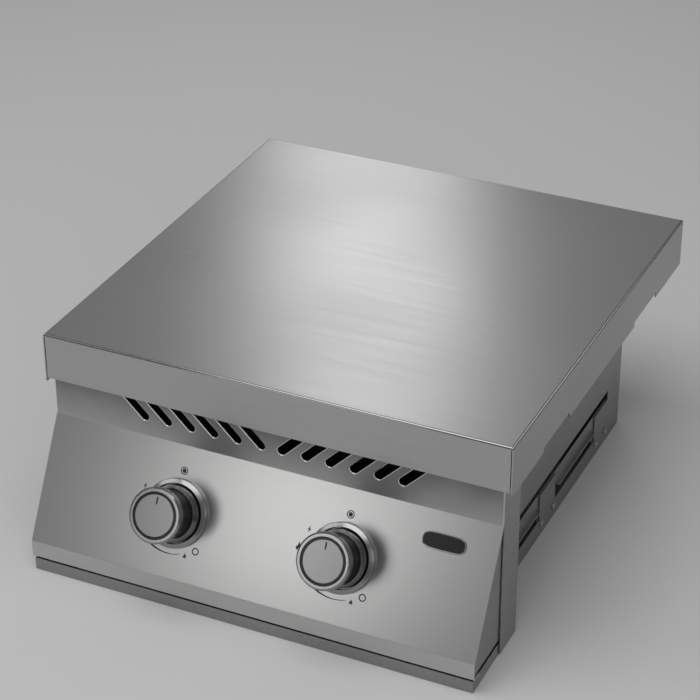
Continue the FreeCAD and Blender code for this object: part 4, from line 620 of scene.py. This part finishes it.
nonmetal = partial(Finish, metallic=0.0)
BRUSHED = Finish("brushed_stainless", (0.60, 0.597, 0.595), tint=0.05, rough=(0.31, 0.05),
                 size=1700.0, relief=(0.55, 0.06), grain=Grain.ACROSS)
PANEL = Finish("panel_stainless", (0.56, 0.557, 0.553), tint=0.02, rough=(0.30, 0.015),
               size=2400.0, relief=(0.15, 0.01), grain=Grain.ACROSS, length=14.0)
POLISHED = Finish("polished_stainless", (0.30, 0.299, 0.298), tint=0.03, rough=(0.2, 0.04),
                  size=900.0, relief=(0.06, 0.01))
FINISHES: tuple[Finish, ...] = (
    BRUSHED,
    # Painted shade: darker copies of the brushed steel for the lid's skirts; the sides' are
    # brushed upright.
    replace(BRUSHED, name="skirt_stainless_shaded", colour=(0.47, 0.467, 0.465)),
    replace(BRUSHED, name="upright_stainless_shaded", colour=(0.40, 0.398, 0.397),
            grain=Grain.UPRIGHT),
    # Painted shade: a darker copy for the lid's bends, also smoother.
    replace(BRUSHED, name="bend_stainless_shaded", colour=(0.31, 0.309, 0.308), tint=0.03,
            rough=(0.14, 0.03), relief=(0.2, 0.02), length=12.0),
    PANEL,
    # Painted shade: a darker copy of the panel's steel on the upright strip under the lid's skirt;
    # it is also rougher.
    replace(PANEL, name="strip_stainless_shaded", colour=(0.46, 0.457, 0.455), tint=0.04,
            rough=(0.43, 0.03), relief=(0.5, 0.04), painted_shade=0.55),
    replace(PANEL, name="face_stainless", colour=(0.32, 0.319, 0.318), tint=0.04,
            rough=(0.30, 0.04), size=3200.0, relief=(0.2, 0.02), length=30.0),
    POLISHED,
    # Painted highlight: a brighter, glossier copy for the vents' rims and the base pan's louvre
    # lips.
    replace(POLISHED, name="rim_painted_highlight", colour=(0.70, 0.696, 0.692), rough=(0.16, 0.03)),
    # Painted shade: a dark copy of the polished steel for the knob shell's turned sides.
    replace(POLISHED, name="shell_side_shaded", colour=(0.15, 0.15, 0.154), tint=0.05,
            rough=(0.16, 0.03)),
    Finish("satin_stainless", (0.64, 0.635, 0.63), 0.04, (0.26, 0.06), 1400.0, (0.12, 0.02)),
    Finish("pressed_steel", (0.33, 0.33, 0.335), 0.07, (0.40, 0.08), 420.0, (0.12, 0.05)),
    Finish("plated_steel", (0.55, 0.56, 0.56), 0.08, (0.3, 0.1), 700.0, (0.1, 0.03)),
    Finish("brass", (0.60, 0.43, 0.18), 0.12, (0.33, 0.1), 500.0, (0.15, 0.06)),
    Finish("cast_aluminium", (0.52, 0.52, 0.53), 0.1, (0.5, 0.1), 800.0, (0.5, 0.15)),
    Finish("aluminium_tube", (0.66, 0.66, 0.67), 0.06, (0.3, 0.08), 600.0, (0.1, 0.03)),
    Finish("grey_plastic", (0.22, 0.22, 0.226), 0.06, (0.2, 0.04), 1600.0, (0.1, 0.02)),
    nonmetal("cast_iron", (0.028, 0.028, 0.030), 0.3, (0.58, 0.12), 1100.0, (0.8, 0.35),
             specular=0.45),
    nonmetal("cap_enamel", (0.014, 0.014, 0.015), 0.2, (0.22, 0.06), 300.0, (0.2, 0.12), coat=0.6),
    nonmetal("badge_enamel", (0.012, 0.012, 0.013), 0.2, (0.3, 0.05), 900.0, (0.2, 0.03),
             specular=0.4),
    nonmetal("black_plastic", (0.008, 0.008, 0.009), 0.15, (0.3, 0.05), 1600.0, (0.15, 0.03),
             specular=0.3),
    nonmetal("smoked_ring", (0.012, 0.0125, 0.014), 0.1, (0.25, 0.04), 400.0, (0.05, 0.02),
             specular=0.3),
    nonmetal("circuit_board", (0.012, 0.014, 0.013), 0.25, (0.35, 0.06), 260.0, (0.1, 0.05),
             coat=0.4),
    nonmetal("foam_seal", (0.03, 0.03, 0.031), 0.3, (0.9, 0.05), 1300.0, (0.9, 0.3)),
    nonmetal("lead_jacket", (0.42, 0.03, 0.02), 0.1, (0.45, 0.06), 700.0, (0.1, 0.03)),
    nonmetal("ceramic", (0.83, 0.82, 0.77), 0.05, (0.45, 0.08), 700.0, (0.15, 0.04)),
    nonmetal("dial_print", (0.02, 0.02, 0.021), 0.1, (0.5, 0.05), 900.0, (0.05, 0.01)),
)


@dataclass
class Palette:
    """All materials by name."""

    made: dict[str, bpy.types.Material] = field(default_factory=dict)

    def build(self) -> None:
        """Make every finish once."""
        groups = {"brushing": brushing_group(), "speckle": speckle_group(),
                  "heat_stain": painted_shade_group()}
        for finish in FINISHES:
            self.made[finish.name] = finish.build(groups)

    def load(self, piece: Piece, *names: str) -> None:
        """Give a piece some materials, whose order its faces' indices follow."""
        for name in names:
            piece.data.materials.append(self.made[name])

    def dress_solids(self, nodes: dict[str, Piece], record: dict) -> None:
        """Give every solid of the model the finish of its slot.

        Args:
            nodes: the solids by name.
            record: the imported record.
        """
        slots = {entry["node"]: entry["material_slot"] for entry in record["subparts"]}
        for name, node in nodes.items():
            node.data.materials.clear()
            self.load(node, "cap_enamel" if name.startswith("burner_cap") else slots[name])


# Places on the sloping panel

@dataclass
class Slope:
    """The sloping face of the control panel, in millimetres and degrees."""

    front: float = 232.1
    bend_height: float = 142.7
    angle: float = 29.0
    knob_offset: float = 85.0
    knob_drop: float = 64.005

    def at(self, across: float, down: float) -> Matrix:
        """Give the place of a piece that is seated on the face.

        Args:
            across: its distance to the right of the middle.
            down: its distance down the slope from the bend.

        Returns:
            A matrix whose Z points out of the face and whose Y points up the slope.
        """
        turn = math.radians(self.angle)
        y = -(self.front + down * math.sin(turn))
        z = self.bend_height - down * math.cos(turn)
        place = Matrix.Translation(Vector((across, y, z)) * MM)
        return place @ Matrix.Rotation(math.pi / 2 - turn, 4, "X")

    def knob(self, side: str, shift: float = 0.0) -> Matrix:
        """Give the place of a knob, or of what sits a shift to its right."""
        return self.at(SIDES[side] * self.knob_offset + shift, self.knob_drop)


# Sub-assemblies

@dataclass
class Lid:
    """The folded lid with its seams and resting tabs."""

    palette: Palette
    half: float = 235.0
    top: float = 228.0
    gauge: float = 1.2
    bend: float = 2.4
    front_drop: float = 47.0
    side_drop: float = 50.5
    seam: float = 0.8
    rim: float = 0.3
    tab_length: float = 66.0
    tab_reach: float = 7.7
    tab_rise: float = 6.5
    tab_offset: float = 124.0
    tab_bite: float = 0.05

    def build(self) -> None:
        """Model the lid as one folded sheet and put it on its body."""
        shell = add_block("lid_sheet", (-self.half, -self.half, self.top - self.side_drop),
                          (self.half, self.half, self.top))
        self.round_top(shell)
        self.cut_to_shape(shell)
        thicken(shell, self.gauge)
        sheet = join("lid_sheet", [shell, *self.tabs()])
        crisp(sheet, self.rim, 50.0)
        self.dress(sheet)
        put_on(sheet, Body.LID.at(), "brushed_stainless", "lid_shell")

    @property
    def notch_top(self) -> float:
        """Give the height up to which the side skirts are notched for the tabs."""
        return self.top - self.side_drop + self.tab_rise

    @property
    def edge_height(self) -> float:
        """Give the height of the front skirt's edge."""
        return self.top - self.front_drop

    def round_top(self, shell: Piece) -> None:
        """Open the block's underside and round the bends round its top.

        Args:
            shell: the block.
        """
        with editing(shell):
            select(shell, Part.FACE, lambda face: face.normal.z < -FACING)
            bpy.ops.mesh.delete(type="FACE")
            select(shell, Part.EDGE, lambda edge: middle(edge).z > self.top - 0.1)
            bevel(self.bend, 7)

    def cut_to_shape(self, shell: Piece) -> None:
        """Shorten the front skirt, open the corner seams and notch the sides for the tabs.

        Args:
            shell: the open block.
        """
        cuts = [((0, 0, self.edge_height), (0, 0, 1)), ((0, 0, self.notch_top), (0, 0, 1))]
        for sign in (-1, 1):
            for end in (-1, 1):
                y = sign * self.tab_offset + end * self.tab_length / 2
                cuts.append(((0, y, 0), (0, 1, 0)))
            for inset in (self.seam + self.gauge, self.gauge):
                cuts.append(((sign * (self.half - inset), 0, 0), (1, 0, 0)))
        with editing(shell):
            for point, normal in cuts:
                select_all()
                bpy.ops.mesh.bisect(plane_co=[v * MM for v in point], plane_no=normal)
            select(shell, Part.FACE, self.is_cut_away)
            bpy.ops.mesh.delete(type="FACE")

    def is_cut_away(self, face: bmesh.types.BMFace) -> bool:
        """Say whether a face of the raw sheet is cut away.

        Args:
            face: the face.

        Returns:
            True for faces below the front edge, in a seam or in a notch.
        """
        centre = face.calc_center_median() / MM
        outside = self.half - 0.05
        if centre.y < -outside and face.normal.y < -FACING:
            inset = self.half - abs(centre.x)
            in_seam = self.gauge < inset < self.gauge + self.seam
            return centre.z < self.edge_height or (in_seam and centre.z < self.top - self.bend)
        beside = abs(centre.x) > outside and abs(face.normal.x) > FACING
        near_tab = abs(abs(centre.y) - self.tab_offset) < self.tab_length / 2
        return beside and near_tab and centre.z < self.notch_top

    def tabs(self) -> list[Piece]:
        """Make the four tabs folded in from the side skirts.

        Returns:
            The tabs.
        """
        made = []
        for sign in (-1, 1):
            for place in (-1, 1):
                inner, outer = sorted((sign * (self.half - self.tab_reach),
                                       sign * (self.half - 0.02)))
                y = place * self.tab_offset
                made.append(add_block(
                    "lid_tab", (inner, y - self.tab_length / 2, self.notch_top - self.gauge),
                    (outer, y + self.tab_length / 2, self.notch_top + self.tab_bite)))
        return made

    def dress(self, sheet: Piece) -> None:
        """Brush the side skirts upright, the rest across, and paint shade on all skirts and the
        smoother bends.

        Args:
            sheet: the finished lid.
        """
        self.palette.load(sheet, "brushed_stainless", "upright_stainless_shaded",
                          "bend_stainless_shaded", "skirt_stainless_shaded")
        for face in sheet.data.polygons:
            across, along, up = (abs(part) > SQUARE for part in face.normal)
            face.material_index = 1 if across else 3 if along else 0 if up else 2


@dataclass
class ControlPanel:
    """The folded control panel with its slanted vents, in millimetres."""

    palette: Palette
    slope: Slope
    half_width: float = 227.6
    top: float = 198.0
    fold: float = 12.0
    foot_front: float = 292.944
    foot_height: float = 32.935
    band_edge: float = 14.335
    longest: float = 150.0
    gauge: float = 1.5
    bend: float = 3.0
    rim: float = 0.4
    vent_rim: float = 0.9
    vent_count: int = 6
    vent_first: float = 10.5
    vent_pitch: float = 24.1
    vent_foot: float = 162.8
    vent_rise: float = 20.0
    vent_radius: float = 5.0
    hole_radius: float = 8.6
    screw_offset: float = 17.0
    screw_radius: float = 1.9
    cutter_depth: float = 12.0

    def build(self) -> None:
        """Fold the sheet, cut its vents and holes, round its edges and put it on the base."""
        sheet = self.fold_sheet()
        cutter = join("panel_cutters", self.cutters())
        modify(sheet, "BOOLEAN", operation="DIFFERENCE", solver="EXACT", object=cutter)
        bpy.data.objects.remove(cutter, do_unlink=True)
        self.roll_vent_rims(sheet)
        crisp(sheet, self.rim, 50.0)
        self.dress(sheet)
        put_on(sheet, Body.BASE.at(), "brushed_stainless", "control_panel")

    @property
    def vent_band(self) -> tuple[float, float]:
        """Give the heights that the vents lie between, with a millimetre to spare."""
        reach = self.vent_radius + 1.0
        return self.vent_foot - reach, self.vent_foot + self.vent_rise + reach

    def fold_sheet(self) -> Piece:
        """Draw the profile out along X, round its bends and give it its gauge.

        Returns:
            The closed folded sheet.
        """
        front, foot = -self.slope.front, -self.foot_front
        square = [(front, self.top), (foot, self.band_edge)]
        upper, lower = (front, self.slope.bend_height), (foot, self.foot_height)
        profile = [(front + self.fold, self.top), square[0], upper, lower, square[1],
                   (foot + self.fold, self.band_edge)]
        points = [Vector((-self.half_width, y, z)) * MM for y, z in profile]
        sheet = add_outline("control_panel_sheet", points, filled=False)
        half_turn = math.tan(math.radians(self.slope.angle / 2))
        with editing(sheet):
            # Only the edge that closes the circle, from fold to fold, is this long.
            select(sheet, Part.EDGE, lambda edge: edge.calc_length() > self.longest * MM)
            bpy.ops.mesh.delete(type="EDGE")
            select_all()
            reach = {"value": (2 * self.half_width * MM, 0, 0)}
            bpy.ops.mesh.extrude_region_move(TRANSFORM_OT_translate=reach)
            self.round_bends(sheet, square, self.bend)
            self.round_bends(sheet, [upper], (self.bend - self.gauge) * half_turn)
            self.round_bends(sheet, [lower], self.bend * half_turn)
            face_outwards()
            mesh = bmesh.from_edit_mesh(sheet.data)
            upright = max(mesh.faces, key=lambda face: abs(face.normal.y) * face.calc_area())
            if upright.normal.y > 0:
                bpy.ops.mesh.flip_normals()
        thicken(sheet, self.gauge)
        return sheet

    def round_bends(self, sheet: Piece, corners: Sequence[Point2], offset: float) -> None:
        """Round the bends that run across the sheet at some corners of the profile.

        Args:
            sheet: the sheet in edit mode.
            corners: the corners, as Y and Z.
            offset: how far from the corner the bend starts.
        """
        def at_corner(edge: bmesh.types.BMEdge) -> bool:
            """Say whether an edge runs across at one of the corners."""
            centre = middle(edge)
            return abs(centre.x) < 1.0 and any(math.hypot(centre.y - y, centre.z - z) < 0.1
                                               for y, z in corners)

        select(sheet, Part.EDGE, at_corner)
        bevel(offset, 5)

    def roll_vent_rims(self, sheet: Piece) -> None:
        """Round the vents' front edges wide, as pressed vents have them.

        Args:
            sheet: the sheet with its vents cut.
        """
        low, high = self.vent_band

        def on_vent(edge: bmesh.types.BMEdge) -> bool:
            """Say whether an edge is on a vent's front outline."""
            flat = all(abs(vertex.co.y / MM + self.slope.front) < 0.01 for vertex in edge.verts)
            return flat and low < middle(edge).z < high and edge.calc_face_angle(0.0) > 1.0

        with editing(sheet):
            select(sheet, Part.EDGE, on_vent)
            bevel(self.vent_rim, 3)

    def dress(self, sheet: Piece) -> None:
        """Give the rest its steel, the strip a darker copy as painted shade, the vents' rims a
        painted highlight.

        Args:
            sheet: the finished sheet.
        """
        self.palette.load(sheet, "panel_stainless", "strip_stainless_shaded", "rim_painted_highlight")
        low, high = self.vent_band
        for polygon in sheet.data.polygons:
            x, y, z = polygon.center / MM
            if abs(y + self.slope.front) < self.vent_rim:
                # The upright strip gets painted shade.
                if abs(polygon.normal.y) > SQUARE:
                    polygon.material_index = 1
                # The vents' rims get a painted highlight.
                elif low < z < high and abs(x) < self.half_width - 2.0:
                    polygon.material_index = 2

    def cutters(self) -> list[Piece]:
        """Make the cutters for the vents, the valve necks and the necks' screws.

        Returns:
            The cutters, the vents' smaller by the rim that is rolled over their edges.
        """
        behind = self.cutter_depth / 2
        sunk = Matrix.Translation((0.0, 0.0, -behind * MM))
        upright = (Matrix.Translation((0.0, (behind - self.slope.front) * MM, 0.0))
                   @ Matrix.Rotation(math.pi / 2, 4, "X"))
        cuts = []
        for sign in SIDES.values():
            for index in range(self.vent_count):
                x = sign * (self.vent_first + index * self.vent_pitch)
                foot = Vector((x, self.vent_foot))
                head = foot + Vector((sign, 1.0)) * self.vent_rise
                radius = self.vent_radius - self.vent_rim
                cuts.append((slot_outline(foot, head, radius, 14), upright))
        for side in SIDES:
            for shift, radius in ((0.0, self.hole_radius), (-self.screw_offset, self.screw_radius),
                                  (self.screw_offset, self.screw_radius)):
                cuts.append((circle(radius, 48), self.slope.knob(side, shift) @ sunk))
        made = [add_plate("panel_cutter", outline, self.cutter_depth) for outline, _ in cuts]
        for cutter, (_, place) in zip(made, cuts):
            settle(cutter, place)
        return made


@dataclass
class Knob:
    """A knob with its bezel, modelled upright and then seated on the slope."""

    palette: Palette
    slope: Slope
    reach: float = 45.0
    radius: float = 26.3
    shell_foot: float = 38.0
    shell_wall: float = 1.7
    shell_chamfer: float = 1.6
    rim_foot: float = 41.0
    rim_inner: float = 22.1
    ring_outer: float = 22.0
    ring_inner: float = 19.7
    ring_recess: float = 0.4
    face_radius: float = 19.6
    bezel_radius: float = 32.8
    pointer_near: float = 8.2
    pointer_far: float = 2.6
    pointer_half: float = 0.75
    print_height: float = 0.06
    steps: int = 128
    looks: tuple[tuple[str, Body, tuple[str, ...], str, float, int], ...] = (
        ("knob_shell", Body.KNOB, ("polished_stainless", "shell_side_shaded"), "satin_stainless",
         0.25, 2),
        ("knob_light_ring", Body.KNOB, ("smoked_ring",), "smoked_ring", 0.12, 2),
        ("knob_face", Body.KNOB, ("face_stainless",), "brushed_stainless", 0.15, 2),
        ("knob_core", Body.KNOB, ("black_plastic",), "black_plastic", 0.3, 2),
        ("knob_skirt", Body.KNOB, ("grey_plastic",), "grey_plastic", 0.3, 2),
        ("bezel", Body.BASE, ("polished_stainless",), "satin_stainless", 0.3, 3))

    def build(self, side: str) -> None:
        """Model one knob and its bezel.

        Args:
            side: "left" or "right".
        """
        place = self.slope.knob(side)
        for name, body, finishes, slot, edge, segments in self.looks:
            piece = add_turned(f"{name}_{side}_dressed", self.profiles()[name], self.steps)
            crisp(piece, edge, 25.0, segments)
            self.palette.load(piece, *finishes)
            # The knob shell's sides get painted shade.
            if len(finishes) > 1:
                self.paint_shade_on_sides(piece)
            settle(piece, place)
            put_on(piece, body.at(side), slot, f"{name}_{side}")
        bar = slot_outline((0.0, self.face_radius - self.pointer_near),
                           (0.0, self.face_radius - self.pointer_far), self.pointer_half, 8)
        pointer = add_plate(f"knob_pointer_{side}", bar, self.print_height)
        self.palette.load(pointer, "dial_print")
        settle(pointer, place @ Matrix.Translation((0.0, 0.0, self.reach * MM)))
        put_on(pointer, Body.KNOB.at(side), "black_plastic")

    def paint_shade_on_sides(self, piece: Piece) -> None:
        """Paint shade on the turned sides of an upright piece with the second, darker, of its
        finishes.
        """
        for face in piece.data.polygons:
            face.material_index = int(abs(face.normal.z) < 0.3)

    def profiles(self) -> dict[str, list[Point2]]:
        """Give the profiles of the turned pieces.

        Returns:
            The closed profiles by name, as radius and height above the panel.
        """
        outer, foot, rim, top = self.radius, self.shell_foot, self.rim_foot, self.reach
        inner, low, head = outer - self.shell_wall, top - self.ring_recess, foot - 0.6
        core, under, edge = inner - 0.1, rim - 0.1, self.bezel_radius
        return {
            "knob_shell": [
                (inner, foot), (outer - 0.3, foot), (outer, foot + 0.3),
                (outer, top - self.shell_chamfer), (outer - self.shell_chamfer, top),
                (self.rim_inner, top), (self.rim_inner, rim), (inner, rim)],
            "knob_light_ring": [
                (self.ring_inner, rim), (self.ring_outer, rim), (self.ring_outer, low),
                (self.ring_inner, low)],
            "knob_face": [
                (0.0, rim), (self.face_radius, rim), (self.face_radius, low),
                (self.face_radius - self.ring_recess, top), (0.0, top)],
            "knob_core": [
                (3.4, 8.0), (12.0, 8.0), (12.0, 14.0), (22.8, 14.0), (22.0, 15.4), (21.6, 17.2),
                (21.6, head - 4.4), (22.0, head - 1.8), (22.8, head), (core, foot),
                (core, under), (0.0, under), (0.0, 27.2), (3.4, 27.2)],
            "knob_skirt": [
                (12.1, 9.0), (24.0, 6.5), (26.7, 6.5), (27.0, 6.8), (27.0, 8.5), (26.4, 10.1),
                (25.5, 11.9), (24.4, 13.9), (12.1, 13.9)],
            "bezel": [
                (edge - 1.4, 0.0), (edge, 0.0), (edge, 3.7), (edge - 0.3, 4.3),
                (edge - 0.9, 4.6), (edge - 4.3, 6.0), (edge - 4.9, 5.4), (edge - 4.9, 2.0),
                (edge - 3.5, 2.0), (edge - 3.5, 4.6), (edge - 1.4, 3.2)],
        }


SPARK_SIGN = ((0.9, 3.0), (-1.5, -0.3), (-0.1, -0.2), (-0.9, -3.0), (1.5, 0.5), (0.1, 0.4))
FLAME_SIGN = ((0.0, 3.6), (0.5, 2.2), (1.6, 0.9), (2.2, -0.6), (1.9, -2.0), (0.9, -2.9),
              (0.3, -1.6), (-0.3, -0.9), (-0.5, -2.1), (-0.9, -2.9), (-1.9, -2.0), (-2.2, -0.7),
              (-1.8, 0.4), (-1.2, -0.1), (-0.8, 1.4))


@dataclass
class DialMarks:
    """Printed marks round a knob: off, spark, flames and the sweep between them."""

    palette: Palette
    slope: Slope
    mark_circle: float = 40.4
    flame_circle: float = 43.0
    sweep_radius: float = 37.8
    sweep_width: float = 4.4
    sweep_end: float = 0.5
    sweep_steps: int = 28
    thickness: float = 0.08

    def build(self, side: str) -> None:
        """Print the marks round one knob.

        Args:
            side: "left" or "right".
        """
        marks = [
            self.ring(0.0, 3.8, 2.9), self.sign(self.mark_circle, 0.0, circle(2.1, 24), 1.0),
            self.sign(self.mark_circle, 64.0, SPARK_SIGN, 1.25),
            self.sign(self.flame_circle, 90.0, FLAME_SIGN, 1.3),
            self.sweep(98.0, 198.0),
            self.sign(self.mark_circle, 205.0, FLAME_SIGN, 0.8),
            self.ring(222.0, 3.6, 2.5),
        ]
        piece = join(f"dial_marks_{side}", marks)
        with editing(piece):
            merge_doubles()
            face_outwards()
        self.palette.load(piece, "dial_print")
        settle(piece, self.slope.knob(side))
        put_on(piece, Body.BASE.at(), "black_plastic")

    def place(self, radius: float, turn: float) -> Point2:
        """Give a mark's place, its angle counted counter-clockwise from the top."""
        angle = math.radians(90.0 + turn)
        return radius * math.cos(angle), radius * math.sin(angle)

    def sign(self, radius: float, turn: float, corners: Sequence[Point2],
             scale: float) -> Piece:
        """Make a flat mark of any outline.

        Args:
            radius: its distance from the knob's axis.
            turn: its angle.
            corners: its outline.
            scale: how much the outline grows.

        Returns:
            The mark.
        """
        across, up = self.place(radius, turn)
        moved = [(across + x * scale, up + y * scale) for x, y in corners]
        return add_plate("mark", moved, self.thickness)

    def ring(self, turn: float, outer: float, inner: float) -> Piece:
        """Make a thin round ring.

        Args:
            turn: its angle.
            outer: its outer radius.
            inner: its inner radius.

        Returns:
            The ring.
        """
        piece = add_turned("mark", [(inner, 0), (outer, 0), (outer, self.thickness),
                                    (inner, self.thickness)], 32)
        settle(piece, Matrix.Translation(Vector((*self.place(self.mark_circle, turn), 0.0)) * MM))
        return piece

    def sweep(self, start: float, end: float) -> Piece:
        """Make the tapered arc that narrows from the large flame to the small one.

        Args:
            start: the angle of its wide end.
            end: the angle of its narrow end.

        Returns:
            The arc.
        """
        outer, inner = [], []
        for index in range(self.sweep_steps + 1):
            share = index / self.sweep_steps
            turn = start + (end - start) * share
            width = self.sweep_width * (1.0 - share) ** 1.6 + self.sweep_end
            outer.append(self.place(self.sweep_radius + width, turn))
            inner.append(self.place(self.sweep_radius, turn))
        return add_plate("mark", outer + inner[::-1], self.thickness)


@dataclass
class Badge:
    """The blank plate at the right of the panel."""

    palette: Palette
    slope: Slope
    across: float = 177.0
    drop: float = 27.0
    half_width: float = 21.0
    half_height: float = 8.0
    squareness: tuple[float, float] = (0.45, 0.7)
    steps: int = 48
    rim: float = 0.8
    fall: float = 0.25
    depth: float = 0.35
    thickness: float = 1.2

    def build(self) -> None:
        """Model the bare plate with a bright rim round a dark field and put it on the panel."""
        corners = []
        for x, y in circle(1.0, self.steps):
            across, up = self.squareness
            corners.append((math.copysign(abs(x) ** across, x) * self.half_width,
                            math.copysign(abs(y) ** up, y) * self.half_height))
        plate = add_plate("badge_dressed", corners, self.thickness)
        with editing(plate):
            select(plate, Part.FACE, lambda face: face.normal.z > FACING)
            bpy.ops.mesh.inset(thickness=self.rim * MM)
            bpy.ops.mesh.inset(thickness=self.fall * MM)
            bpy.ops.transform.translate(value=(0, 0, -self.depth * MM))
        crisp(plate, 0.15, 40.0)
        self.palette.load(plate, "polished_stainless", "badge_enamel")
        for face in plate.data.polygons:
            sunk = 0.5 < face.center.z / MM < self.thickness - 0.3
            face.material_index = int(sunk and face.normal.z > FACING)
        settle(plate, self.slope.at(self.across, self.drop))
        put_on(plate, Body.BASE.at(), "satin_stainless", "badge_plate")


@dataclass
class EdgedSolids:
    """The cast, turned and pressed pieces, whose solids only need their edges rounded."""

    palette: Palette
    nodes: dict[str, Piece]
    record: dict
    lip_height: float = 33.6
    lip_depth: float = 1.4
    edges: dict[str, float] = field(default_factory=lambda: {
        "grate": 1.1, "burner_cap": 0.7, "flame_ring": 0.35, "burner_cup": 0.7,
        "deck_pan": 0.45, "burner_box": 0.35, "base_pan": 0.5, "control_housing": 0.35,
        "housing_floor": 0.3, "panel_cheek": 0.35, "burner_screws": 0.3, "pan_screws": 0.3})

    def build(self) -> None:
        """Round the edges of every listed solid."""
        slots = {entry["node"]: entry["material_slot"] for entry in self.record["subparts"]}
        for body, names in self.record["behaviour"]["bodies"].items():
            for name in names:
                for start, width in self.edges.items():
                    if name.startswith(start):
                        self.build_one(name, body, width, slots[name])

    def build_one(self, name: str, body: str, width: float, slot: str) -> None:
        """Round the edges of one solid.

        Args:
            name: the solid's name.
            body: the body it rides on.
            width: the rounding's width in millimetres.
            slot: the record's material slot.
        """
        piece = self.copy_solid(f"{name}_dressed", self.nodes[name])
        crisp(piece, width, 35.0)
        # The base pan's lips get painted highlights.
        if name == "base_pan":
            self.paint_lip_highlights(piece)
        put_on(piece, body, slot, name)

    def copy_solid(self, name: str, node: Piece) -> Piece:
        """Copy a solid with its finish into a new piece and make its flats whole.

        Args:
            name: the piece's name.
            node: the solid, which stays as it is.

        Returns:
            The copy, its triangles merged.
        """
        piece = bpy.data.objects.new(name, node.data.copy())
        bpy.context.scene.collection.objects.link(piece)
        piece.data.name = name
        activate(piece)
        bpy.ops.mesh.customdata_custom_splitnormals_clear()
        with editing(piece):
            merge_doubles()
            bpy.ops.mesh.mark_sharp(clear=True)
            bpy.ops.mesh.dissolve_limited(angle_limit=math.radians(0.5))
        return piece

    def paint_lip_highlights(self, pan: Piece) -> None:
        """Paint highlights on the louvre lips' outer tops with a brighter copy of the steel.

        Args:
            pan: the base pan, its own finish given.
        """
        self.palette.load(pan, "rim_painted_highlight")
        reach = max(vertex.co.x for vertex in pan.data.vertices) - self.lip_depth * MM
        for face in pan.data.polygons:
            level = abs(face.center.z / MM - self.lip_height) < 1.0
            outside = abs(face.center.x) > reach
            face.material_index = int(level and outside and face.normal.z > 0.2)


@dataclass(frozen=True)
class Lamp:
    """A soft lamp that faces a point, in metres and watts."""

    name: str
    place: tuple[float, float, float]
    target: tuple[float, float, float]
    size: tuple[float, float]
    power: float

    def hang(self) -> None:
        """Hang the lamp."""
        lamp = bpy.data.objects.new(self.name, bpy.data.lights.new(self.name, "AREA"))
        bpy.context.scene.collection.objects.link(lamp)
        lamp.data.shape = "RECTANGLE"
        lamp.data.size, lamp.data.size_y = self.size
        lamp.data.energy = self.power
        lamp.location = self.place
        lamp.rotation_mode = "QUATERNION"
        aim = Vector(self.target) - Vector(self.place)
        lamp.rotation_quaternion = aim.to_track_quat("-Z", "Y")


LAMPS = (
    Lamp("overhead", (-0.2, -1.2, 3.2), (-0.2, -1.2, 0.0), (2.6, 2.6), 46.0),
    Lamp("left_panel", (-2.75, -1.45, 2.85), (-0.085, -0.26, 0.1), (1.7, 1.7), 13.0),
    Lamp("lid_panel", (-0.55, 1.17, 0.99), (0.0, 0.0, 0.228), (0.32, 0.6), 0.86),
    Lamp("front_panel", (-0.33, -1.114, 0.44), (0.04, -0.243, 0.12), (0.3, 0.3), 0.45),
    Lamp("right_panel", (2.0, -2.2, 1.7), (0.0, -0.2, 0.15), (1.3, 1.2), 6.5),
    Lamp("edge_panel", (1.75, 2.5, 1.45), (0.2, 0.0, 0.2), (0.5, 0.9), 2.4),
)


@dataclass
class Studio:
    """Floor, lamps, world and camera, in metres and degrees."""

    camera_place: tuple[float, float, float] = (0.8061, -1.7817, 1.2930)
    camera_turn: float = 25.1207
    camera_dip: float = 30.4681
    camera_roll: float = -0.2488
    lens: float = 117.65
    sensor: float = 36.0
    floor_size: float = 24.0
    floor_grey: float = 0.72
    floor_roughness: float = 0.9
    world_strength: float = 0.21

    def build(self) -> None:
        """Set up the whole studio."""
        self.place_camera()
        self.lay_floor()
        self.light_world()
        for lamp in LAMPS:
            lamp.hang()
        bpy.context.scene.view_settings.view_transform = "Standard"

    def place_camera(self) -> None:
        """Put the camera where the photograph was taken from."""
        camera = bpy.data.objects.new("camera", bpy.data.cameras.new("camera"))
        bpy.context.scene.collection.objects.link(camera)
        camera.data.lens = self.lens
        camera.data.sensor_width = self.sensor
        camera.matrix_world = (Matrix.Translation(self.camera_place)
                               @ Matrix.Rotation(math.radians(self.camera_turn), 4, "Z")
                               @ Matrix.Rotation(math.radians(90.0 - self.camera_dip), 4, "X")
                               @ Matrix.Rotation(math.radians(self.camera_roll), 4, "Z"))
        bpy.context.scene.camera = camera

    def lay_floor(self) -> None:
        """Lay a wide pale floor under the object."""
        activate()
        bpy.ops.mesh.primitive_plane_add(size=self.floor_size, location=(0, 0, 0))
        floor = name_piece("studio_floor")
        material = bpy.data.materials.new("studio_floor")
        material.use_nodes = True
        shader = material.node_tree.nodes["Principled BSDF"]
        shader.inputs["Base Color"].default_value = (*[self.floor_grey] * 3, 1.0)
        shader.inputs["Roughness"].default_value = self.floor_roughness
        floor.data.materials.append(material)

    def light_world(self) -> None:
        """Make the surroundings an even pale grey."""
        world = bpy.data.worlds.new("studio")
        bpy.context.scene.world = world
        world.use_nodes = True
        background = world.node_tree.nodes["Background"]
        background.inputs["Color"].default_value = (1.0, 1.0, 1.0, 1.0)
        background.inputs["Strength"].default_value = self.world_strength


def main() -> None:
    """Load the model, dress it and light it."""
    logging.basicConfig(level=logging.INFO, format="%(message)s")
    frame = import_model()
    palette = Palette()
    palette.build()
    palette.dress_solids(frame["nodes"], frame["record"])
    slope = Slope()
    Studio().build()
    Lid(palette).build()
    ControlPanel(palette, slope).build()
    EdgedSolids(palette, frame["nodes"], frame["record"]).build()
    for side in SIDES:
        Knob(palette, slope).build(side)
        DialMarks(palette, slope).build(side)
    Badge(palette, slope).build()


if __name__ == "__main__":
    main()
